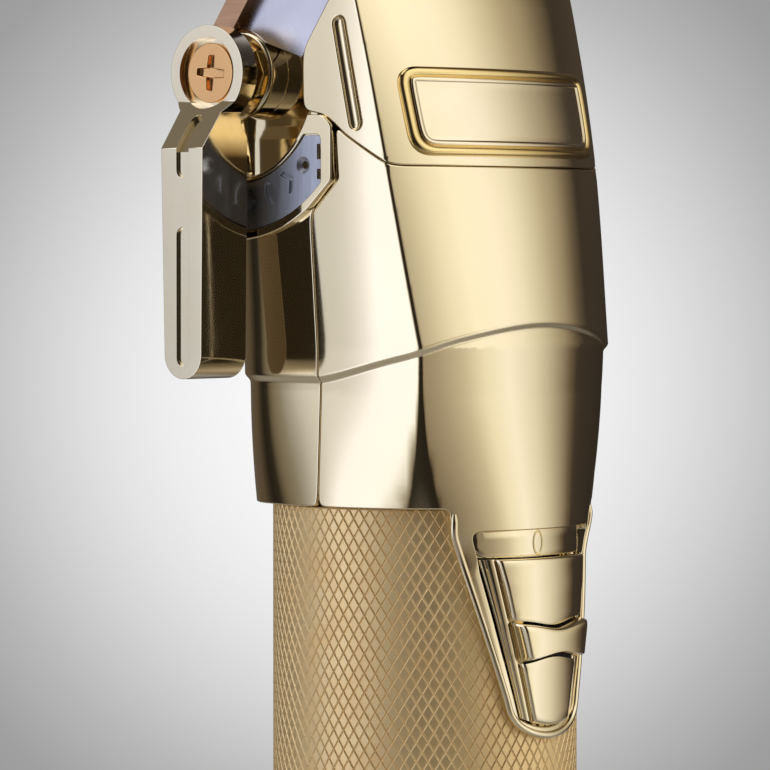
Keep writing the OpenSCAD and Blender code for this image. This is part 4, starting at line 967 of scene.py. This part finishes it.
def makeLeverScrew():
    look = leverScrew
    y, z = pivot["place"]
    seat = leverArm["ringIn"] + leverArm["recessFloor"]
    face = -seat - look["thick"]
    head = cylinder("leverScrew", look["head"], face, -seat, 72)
    for turn in (look["turn"], 90 + look["turn"]):
        along, across = Vector((cosine(turn), sine(turn))), Vector((-sine(turn), cosine(turn)))
        length, width = look["cross"] / 2, look["crossWidth"] / 2
        corners = [along * sx * length + across * sy * width * (1 if sx else look["waist"])
                   for sx, sy in ((-1, -1), (0, -1), (1, -1), (1, 1), (0, 1), (-1, 1))]
        cross = [(y + c.x, z + c.y) for c in corners]
        carved(head, slab("cross", cross, "X", face - 1, face + look["crossDepth"]))
    softened3d(head, look["edge"], 3, 40)
    shank = cylinder("shank", look["shank"], -seat - 0.3, -look["shankEnd"], 32)
    placed(joined([head, shank], "leverScrew"), "leverScrew", "lever", "roseGold", ["lever_screw"])


def makePivotPad():
    look, place = pivot, pivot["place"]
    inner, outer = look["frame"]
    outline = arc(place, outer, *look["frameTurn"], 26) + look["frameFront"]
    outline += arc(place, inner, 66, look["frameTurn"][0], 36)
    frameSlab = slab("frame", blunted(outline, 0.5), "X", -look["frameFace"], -19.5)
    softened3d(frameSlab, 0.35, 3, 50)
    carved(frameSlab, slab("seat", stopOutline(look["seatGap"]), "X", -30, -look["seatFloor"]))
    softened3d(frameSlab, 0.1, 2, 60)
    # the pocket: its floor, its round wall and the straight wall behind
    radius, deep, wallAt = look["pocket"], look["pocketFloor"], look["pocketWall"]
    reach = math.degrees(math.asin((wallAt - place[0]) / radius))
    bowl = arc(place, radius + 0.9, -reach, 150, 40) + [(wallAt, place[1] + 9)]
    floor = slab("pocketFloor", bowl, "X", -deep, -deep + 1)
    wall = arc(place, radius + 0.02, -reach, 100, 36) + arc(place, radius + 1.0, 100, -reach, 36)
    roundWall = slab("pocketRound", wall, "X", -look["bossFace"], -deep + 0.5)
    behind = slab("behind", box(wallAt, wallAt + 1, place[1] - 13, place[1] + 5), "X", -20.6, -deep + 0.5)
    boss = cylinder("boss", look["boss"], -look["bossFace"], -deep + 0.4, 72)
    softened3d(boss, look["bossEdge"], 5, 50)
    for piece in (boss, floor):
        carved(piece, cylinder("bushBore", look["bush"], -30, -10, 48))
    pad = joined([frameSlab, floor, roundWall, behind, boss], "pivotPad")
    placed(pad, "pivotPad", "housing", "champagneGold")


stopPlate = {"turn": -7, "radii": (13.95, 19.8), "front": -1.5, "top": 139.4, "corner": 0.9,
             "faces": (22.3, 21.1), "marks": 16.2, "start": -1, "step": 11.3, "deep": 0.45, "edge": 0.12,
             "slots": ((133.9, 135.2), (136.4, 138.3)), "slotSize": (0.75, 0.6),
             "oval": (1.5, 0.85), "dimple": 1.45,
             "chevron": [(-1.4, -0.8), (0, 0.2), (1.4, -0.8), (1.4, 0.05), (0, 1.05), (-1.4, 0.05)]}


# The stop plate's outline: an arched strip with an upright front end.
def stopOutline(margin=0.0):
    look, (y, z) = stopPlate, pivot["place"]
    inner, outer = look["radii"][0] - margin, look["radii"][1] + margin
    front, top = look["front"] - margin, look["top"] + margin
    start = look["turn"] - margin * 4
    points = arc((y, z), inner, start, math.degrees(math.acos((z - top) / inner)), 28) + [(front, top)]
    points += arc((y, z), outer, math.degrees(math.asin((y - front) / outer)), start, 28)
    return blunted(points, look["corner"])


def makeStopPlate():
    look = stopPlate
    face = -look["faces"][0]
    oval = [(look["oval"][0] * sine(t), look["oval"][1] * cosine(t)) for t in range(0, 360, 12)]
    plate = slab("stopPlate", stopOutline(), "X", face, -look["faces"][1])
    for i, shape in enumerate((None, look["chevron"], oval, look["chevron"], None)):
        turn = look["start"] + look["step"] * i
        outward, around = Vector((-sine(turn), -cosine(turn))), Vector((-cosine(turn), sine(turn)))
        centre = Vector(pivot["place"]) + outward * look["marks"]
        if shape:
            points = [tuple(centre + outward * u + around * v) for u, v in shape]
            carved(plate, slab("mark", points, "X", face - 1, face + look["deep"]))
        else:
            carved(plate, cylinder("dimple", look["dimple"], face - 0.3, face + 0.8, 32, tuple(centre), 0.1))
    # the front end has an upright slot in two parts
    front, (length, depth) = look["front"], look["slotSize"]
    for low, high in look["slots"]:
        carved(plate, slab("slot", box(front - 1, front + length, low, high), "X", face - 1, face + depth))
    softened3d(plate, look["edge"], 2, 55)
    placed(plate, "stopPlate", "housing", "brushedSteel", ["stop_plate"])


for make in (makeLever, makeLeverHub, makeLeverScrew, makePivotPad, makeStopPlate):
    make()
print("lever and stop plate made")


# The plate on the cover's face: a raised rounded frame about a bare panel.
namePlate = {"foot": 44.8, "tall": 11.1, "half": (18.0, 18.5), "corner": 2.99,
             "profile": [(0, 0.5), (0, -0.15), (0.07, -0.42), (0.3, -0.68), (0.58, -0.77), (0.9, -0.68),
                         (1.12, -0.42), (1.17, -0.22), (1.23, -0.22), (1.29, -0.42), (1.42, -0.55),
                         (1.62, -0.57), (1.8, -0.5), (1.9, -0.32), (1.98, -0.3)], "panelRing": 8}


# A piece on the skin whose edge follows a profile of (distance from the outline, depth under the skin).
def sweptRings(name, loop, profile, rounds=0, spacing=(1.6, 0.7)):
    loops = [relaxed(movedIn(loop, distance), int(distance * rounds)) for distance, _ in profile]

    def under(p, depth):
        # a depth as large as this is a radius about the barrel's axis
        inset = skinRadius(p.x / flat, p.y) - depth if depth > 5 else depth
        return skinPoint(p.x / flat, p.y, inset) * mm

    places = [under(p, depth) for ring, (_, depth) in zip(loops, profile) for p in ring]
    count = len(loop)
    faces = []
    for row in range(0, len(places) - count, count):
        faces += [(row + i, row + after, row + count + after, row + count + i)
                  for i, after in enumerate([*range(1, count), 0])]
    # the same triangles close the top and the underside
    inner = gridInside([loops[-1]], 0.3, spacing)[0]
    top, base = list(range(len(places) - count, len(places))), list(range(count))
    for p in inner:
        places += [under(p, profile[-1][1]), under(p, profile[0][1])]
        top.append(len(places) - 2)
        base.append(len(places) - 1)
    for face in triangulated([loops[-1]], inner):
        faces += [tuple(top[i] for i in face), tuple(base[i] for i in face[::-1])]
    return meshed(name, places, [], faces)


def plateOutline():
    look = namePlate
    low, high = look["foot"], look["foot"] + look["tall"]
    narrow, wide = look["half"]
    corners = [Vector(p) for p in ((narrow, low), (wide, high), (-wide, high), (-narrow, low))]
    corners = cornersRounded(corners, look["corner"], 8)
    return evenly([flatPoint(angleAcross(p.x, p.y), p.y) for p in corners], 0.4)


def makeNamePlate():
    plate = sweptRings("namePlate", plateOutline(), namePlate["profile"], 8)
    placed(plate, "namePlate", "housing", "plateGold", ["name_plate"], 50)
    plate.data.materials.append(finished("palePlate"))
    # the panel is paler than its frame, from the frame's inner foot on
    count = len(plateOutline())
    start, base = namePlate["panelRing"] * count, len(namePlate["profile"]) * count
    for face in plate.data.polygons:
        first = min(face.vertices)
        if first >= start and (first < base or face.normal.y < 0):
            face.material_index = 1


makeNamePlate()


# The bead that runs round the tongue, from rim to rim.
tongueBead = {"radius": 0.5, "inside": 0.46, "sink": 0.16, "top": 0.7}


def makeBead():
    look = tongueBead
    half = tongueHalf()
    half[-1] = Vector((half[-1].x, 6))
    loop = softened(half + [Vector((-p.x, p.y)) for p in half[::-1] if p.x > 0.01], 0.4, 4)
    inner = movedIn(loop, look["inside"])
    path = [p for p in inner if p.y < look["top"]]
    start = max(range(len(path)), key=lambda i: (path[i] - path[i - 1]).length)
    path = path[start:] + path[:start]
    bead = tube("tongueBead", [skinPoint(p.x / flat, p.y, look["sink"]) for p in path], look["radius"], 5,
                [1 - 0.5 * clip((p.y + 0.6) / 1.2) for p in path])
    welded(bead)
    placed(bead, "tongueBead", "housing", "champagneGold", (), 60)


makeBead()


# The recess in the tongue: sharp about the band, sloping about the switch, and arched at its foot.
recess = {"top": -1.8, "half": 11.75, "taper": 0.28, "corner": 1.5, "end": 5.15, "foot": -26.8, "arch": 1.35,
          "bed": [(0, 1.2, 80), (-0.06, 1.34, 45), (-0.2, 1.4, 0)],
          "edge": [(0, 0.75, 75), (0.06, 0.5, 60), (0.13, 0.34, 36), (0.26, 0.25, 12), (0.75, 0.07, 9),
                   (1.0, 0, 2)],
          "sharp": [(0, 0.14, 80), (0.02, 0.07, 60), (0.04, 0.03, 35), (0.07, 0.01, 15), (0.1, 0, 4),
                    (0.14, 0, 0)]}


def recessHalf(h):
    return recess["half"] - recess["taper"] * (recess["top"] - h)


def recessFoot(x):
    return recess["foot"] + recess["arch"] * min(1.1, abs(x) / recess["end"]) ** 2


# The whole outline from its right half, laid on the tongue.
def onTongue(half, corner):
    points = [Vector(p) for p in half] + [Vector((-x, h)) for x, h in half[::-1] if x > 0.01]
    return evenly([rimPoint(p.x, p.y) for p in cornersRounded(points, corner, 6)], 0.35)


def recessOutline():
    half = [(recess["end"] * k / 10, recessFoot(recess["end"] * k / 10)) for k in range(11)]
    return onTongue(half + [(recess["half"], recess["top"])], recess["corner"])


# The band above the switch, with its zero.
zeroBand = {"foot": -5.25, "gap": 0.04, "radius": 19.84, "base": 18.95, "zero": (0.76, 1.458), "line": 0.19,
            "sunk": 0.12, "at": -1.9, "linkRoom": (3.2, 19.55, 87.15)}


def makeZeroBand():
    look = zeroBand
    gap, rise = look["gap"], look["radius"]
    half = [(recessHalf(look["foot"]) - gap, look["foot"]), (recess["half"] - gap, recess["top"] - gap)]
    profile = [(0, look["base"]), (0, rise - 0.08), (0.02, rise - 0.03), (0.07, rise)]
    band = sweptRings("zeroBand", onTongue(half, recess["corner"]), profile)
    # room for the switch's link behind the band's foot
    side, reach, top = look["linkRoom"]
    carved(band, slab("linkRoom", box(-side, side, top - 2, top), "Y", -reach, -18))
    placed(band, "zeroBand", "housing", "champagneGold", (), 50)
    path = []
    for k in range(48):
        x = look["at"] + look["zero"][0] * sine(k * 7.5)
        h = (recess["top"] + look["foot"]) / 2 + look["zero"][1] * cosine(k * 7.5)
        path.append(Vector((x, -math.sqrt((rise - look["sunk"]) ** 2 - x * x), skinShape["rim"] + h)))
    placed(tube("zeroMark", path, look["line"], 3), "zeroMark", "housing", "plateGold", (), 60)


makeZeroBand()


# The sliding switch, given by rows down its length and columns across it. A row follows a line at an offset;
# it has its radius about the barrel's axis and the steps to the next row. Columns give the radius by the pad.
slider = {
    "top": -5.42, "gap": (0.3, 0.2), "foot": 0.2, "base": 19.93, "pad": (8.5, 0.253, -5.75), "rail": 1.25,
    # box of the painted shade in the undercuts: half width, radius, lowest and highest height
    "shade": (5.0, 20.74, -19.3, -12.8),
    "arches": {"upper": (-14.1, 0.85), "lower": (-17.85, -0.8)},
    "columns": [20.0, 20.14, 20.2, 20.2, 20.03, 20.03, 20.24, 20.33, 20.36, 20.32, 20.22, 20.03, 20.03],
    "edge": [(0, 0.4), (0.05, 0.16), (0.14, 0.04), (0.32, 0)], "between": 9,
    "rows": {
        "top": [(0, 20.3, 1), (-0.06, 20.66, 1), (-0.2, 20.86, 1), (-0.45, 20.93, 5)],
        "upper": [(4.4, 21.08, 5), (1.0, 21.03, 2), (0.5, 20.99, 1), (0.22, 20.93, 1), (0.14, 20.5, 1),
                  (0.0, 20.4, 1), (-0.05, 20.9, 1), (-0.2, 21.6, 1), (-0.34, 22.15, 1), (-0.5, 22.26, 1),
                  (-0.8, 22.35, 1), (-1.4, 22.38, 2)],
        "lower": [(1.4, 22.37, 1), (0.9, 22.38, 1), (0.66, 22.34, 1), (0.5, 22.0, 1), (0.3, 21.2, 1),
                  (0.2, 20.5, 1), (0.0, 20.4, 1), (-0.12, 20.87, 1), (-0.6, 20.95, 7)],
        "foot": [(0.5, 20.88, 1), (0.22, 20.8, 1), (0.08, 20.6, 1), (0, 20.25, 1)],
    },
}


def sliderLevel(line, offset, x):
    if line == "top":
        return slider["top"] + offset
    if line == "foot":
        return recessFoot(x) + slider["foot"] + offset
    middle, rise = slider["arches"][line]
    return middle + rise * (1 - math.exp(-(x / 4) ** 2)) + offset


# The columns' places at a height, from the edge to the middle.
def sliderAcross(h):
    pad, taper, start = slider["pad"]
    half = recessHalf(h) - mix(*slider["gap"], clip((slider["top"] - h) / 21))
    edge = pad - taper * (start - h)
    rail = min(edge + slider["rail"], half - 0.3)
    outer = [half - inside for inside in (0, 0.05, 0.11)]
    outer += [rail + beside for beside in (0.16, 0.1, 0.02, -0.07, -0.2)]
    outer += [(rail + edge) / 2 + 0.05] + [edge + beside for beside in (0.3, 0.17, 0.1, 0.04)]
    outer += [edge - inside for inside, _ in slider["edge"]]
    count = slider["between"]
    return outer + [outer[-1] * (1 - k / count) for k in range(1, count + 1)]


# Places of (x, height, radius) along a line that lies between two rows.
def sliderRow(row, after, share):
    def level(x):
        return mix(sliderLevel(*row[:2], x), sliderLevel(*after[:2], x), share)

    places = []
    edges = len(slider["columns"])
    for k, x in enumerate(sliderAcross(level(3))):
        h, radius = level(x), mix(row[2], after[2], share)
        if k < edges:
            radius = slider["columns"][k]
        elif k < edges + len(slider["edge"]):
            radius = max(20.05, radius - slider["edge"][k - edges][1])
        places.append((sliderAcross(h)[k], h, radius))
    return [(-x, h, radius) for x, h, radius in places] + places[::-1][1:]


def makeSlider():
    look = slider
    given = [(line, *row) for line, rows in look["rows"].items() for row in rows]
    rows = [sliderRow(row, after, k / row[3]) for row, after in zip(given, given[1:]) for k in range(row[3])]
    rows.append(sliderRow(given[-1], given[-1], 0))
    cleared()
    bpy.ops.mesh.primitive_grid_add(x_subdivisions=len(rows[0]) - 1, y_subdivisions=len(rows) - 1, size=2)
    piece = bpy.context.object
    for vertex in piece.data.vertices:
        across, down = (vertex.co.x + 1) / 2, (1 - vertex.co.y) / 2
        x, h, radius = rows[round(down * (len(rows) - 1))][round(across * (len(rows[0]) - 1))]
        vertex.co = Vector((x, -math.sqrt(radius * radius - x * x), skinShape["rim"] + h)) * mm
    with editing(piece) as edit:
        edit.normals_make_consistent(inside=False)
        edit.extrude_region_move()
    for vertex in piece.data.vertices:
        if vertex.select:
            vertex.co.y = -math.sqrt((look["base"] * mm) ** 2 - vertex.co.x ** 2)
    with editing(piece) as edit:
        edit.normals_make_consistent(inside=False)
    placed(piece, "slideSwitch", "switch", "champagneGold", ["slide_button"], 45)
    piece.data.materials.append(finished("blackPlasticAndPaintedShade"))
    # painted shade: the undercuts beside the thumb's ridge get the black plastic finish, which stands in for
    # their shade
    side, reach, low, high = look["shade"]
    for face in piece.data.polygons:
        x, y, z = face.center / mm
        if abs(x) < side and math.hypot(x, y) < reach and low < z - skinShape["rim"] < high:
            face.material_index = 1


makeSlider()
print("plate, bead and switch made")


def rearSide(side):
    low = partLine() + [lines["hook"][0]]
    if side > 0:
        points = low + [lines["hook"][1]] + lines["rearTop"]
    else:
        # the pocket about the lever's pivot is cut out of this side
        foot, radius = lines["pocketFoot"], pivot["pocket"]
        y, h = pivot["place"][0], pivot["place"][1] - skinShape["rim"]
        start = math.degrees(math.acos((foot - h) / radius))
        points = low + [(y - radius * sine(start), foot)]
        points += [(y - radius * sine(t), h + radius * cosine(t)) for t in range(int(start) + 3, 186, 4)]
        points += [(pivot["pocketWall"], 42.1), (pivot["pocketWall"], 60.5)]
    walked = sideLine(points)
    return walked if side > 0 else [Vector((360 * flat - p.x, p.y)) for p in walked]


def rearOutline():
    right, left = rearSide(1), rearSide(-1)
    bottom = [right[0].lerp(left[0], k / 60) for k in range(1, 60)]
    top = [left[-1].lerp(right[-1], k / 60) for k in range(1, 60)]
    return movedIn(softened(bottom + left + top + right[::-1]), 0.05)


def coverOutline():
    half = [flatPoint(angleAt(lines["steps"][1][0], 43.6) * k / 28, lines["seam"]) for k in range(28)]
    half += sideLine([lines["steps"][1], lines["steps"][0]] + lines["hook"] + [(1.8, lines["coverFoot"])]
                     + [(1.8 - k * math.sin(blade["lean"]), lines["coverFoot"] + k * math.cos(blade["lean"]))
                        for k in (4, 8, 12)])
    last = half[-1].x / flat
    for k in range(1, 41):
        a = last * (1 - k / 40)
        h = bisect(lambda t: slantedOver(a, t), 60, 73)
        half.append(flatPoint(a, h))
    return movedIn(softened(mirrored(half)), 0.05)


def slantedOver(a, h):
    return -skinRadius(a, h) * cosine(a) < 1.8 - (h - lines["coverFoot"]) * math.tan(blade["lean"])


blade = {"lean": math.radians(35)}


def besideBand(point):
    return 1 - ease((point.y + 7.2) / 2.2)


frontPiece = skinPiece("frontHousing", frontOutline(), [
    {"loop": recessOutline(), "bed": recess["bed"], "edge": recess["edge"], "sharp": recess["sharp"],
     "share": besideBand}])
print("front", len(frontPiece.data.polygons))
rearPiece = skinPiece("rearHousing", rearOutline())
print("rear", len(rearPiece.data.polygons))
# the long shallow slot on each side of the cover
grooves = {"line": ((-4.25, 61.1), (-6.68, 48.9)), "radius": 1.0,
           "bed": [(0, 0.32, 70), (-0.1, 0.42, 52), (-0.3, 0.53, 34), (-0.6, 0.6, 16)]}


# The slot's outline on the given side, 1 or -1, running against the clock.
def sideGroove(side):
    points = capsule(grooves["line"][1], grooves["line"][0], grooves["radius"])
    loop = [flatPoint(angleAt(y, h, side), h) for y, h in points]
    area = sum(loop[i - 1].x * loop[i].y - loop[i].x * loop[i - 1].y for i in range(len(loop)))
    return evenly(loop if area > 0 else loop[::-1], 0.3)


coverPiece = skinPiece("headCover", coverOutline(), [
    {"loop": sideGroove(side), "bed": grooves["bed"]} for side in (1, -1)])
print("cover", len(coverPiece.data.polygons))
for piece in (frontPiece, rearPiece, coverPiece):
    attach(piece, "housing")
    piece.data.materials.append(gold)
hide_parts("front_shell")
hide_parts("rear_shell")
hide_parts("head_cover")
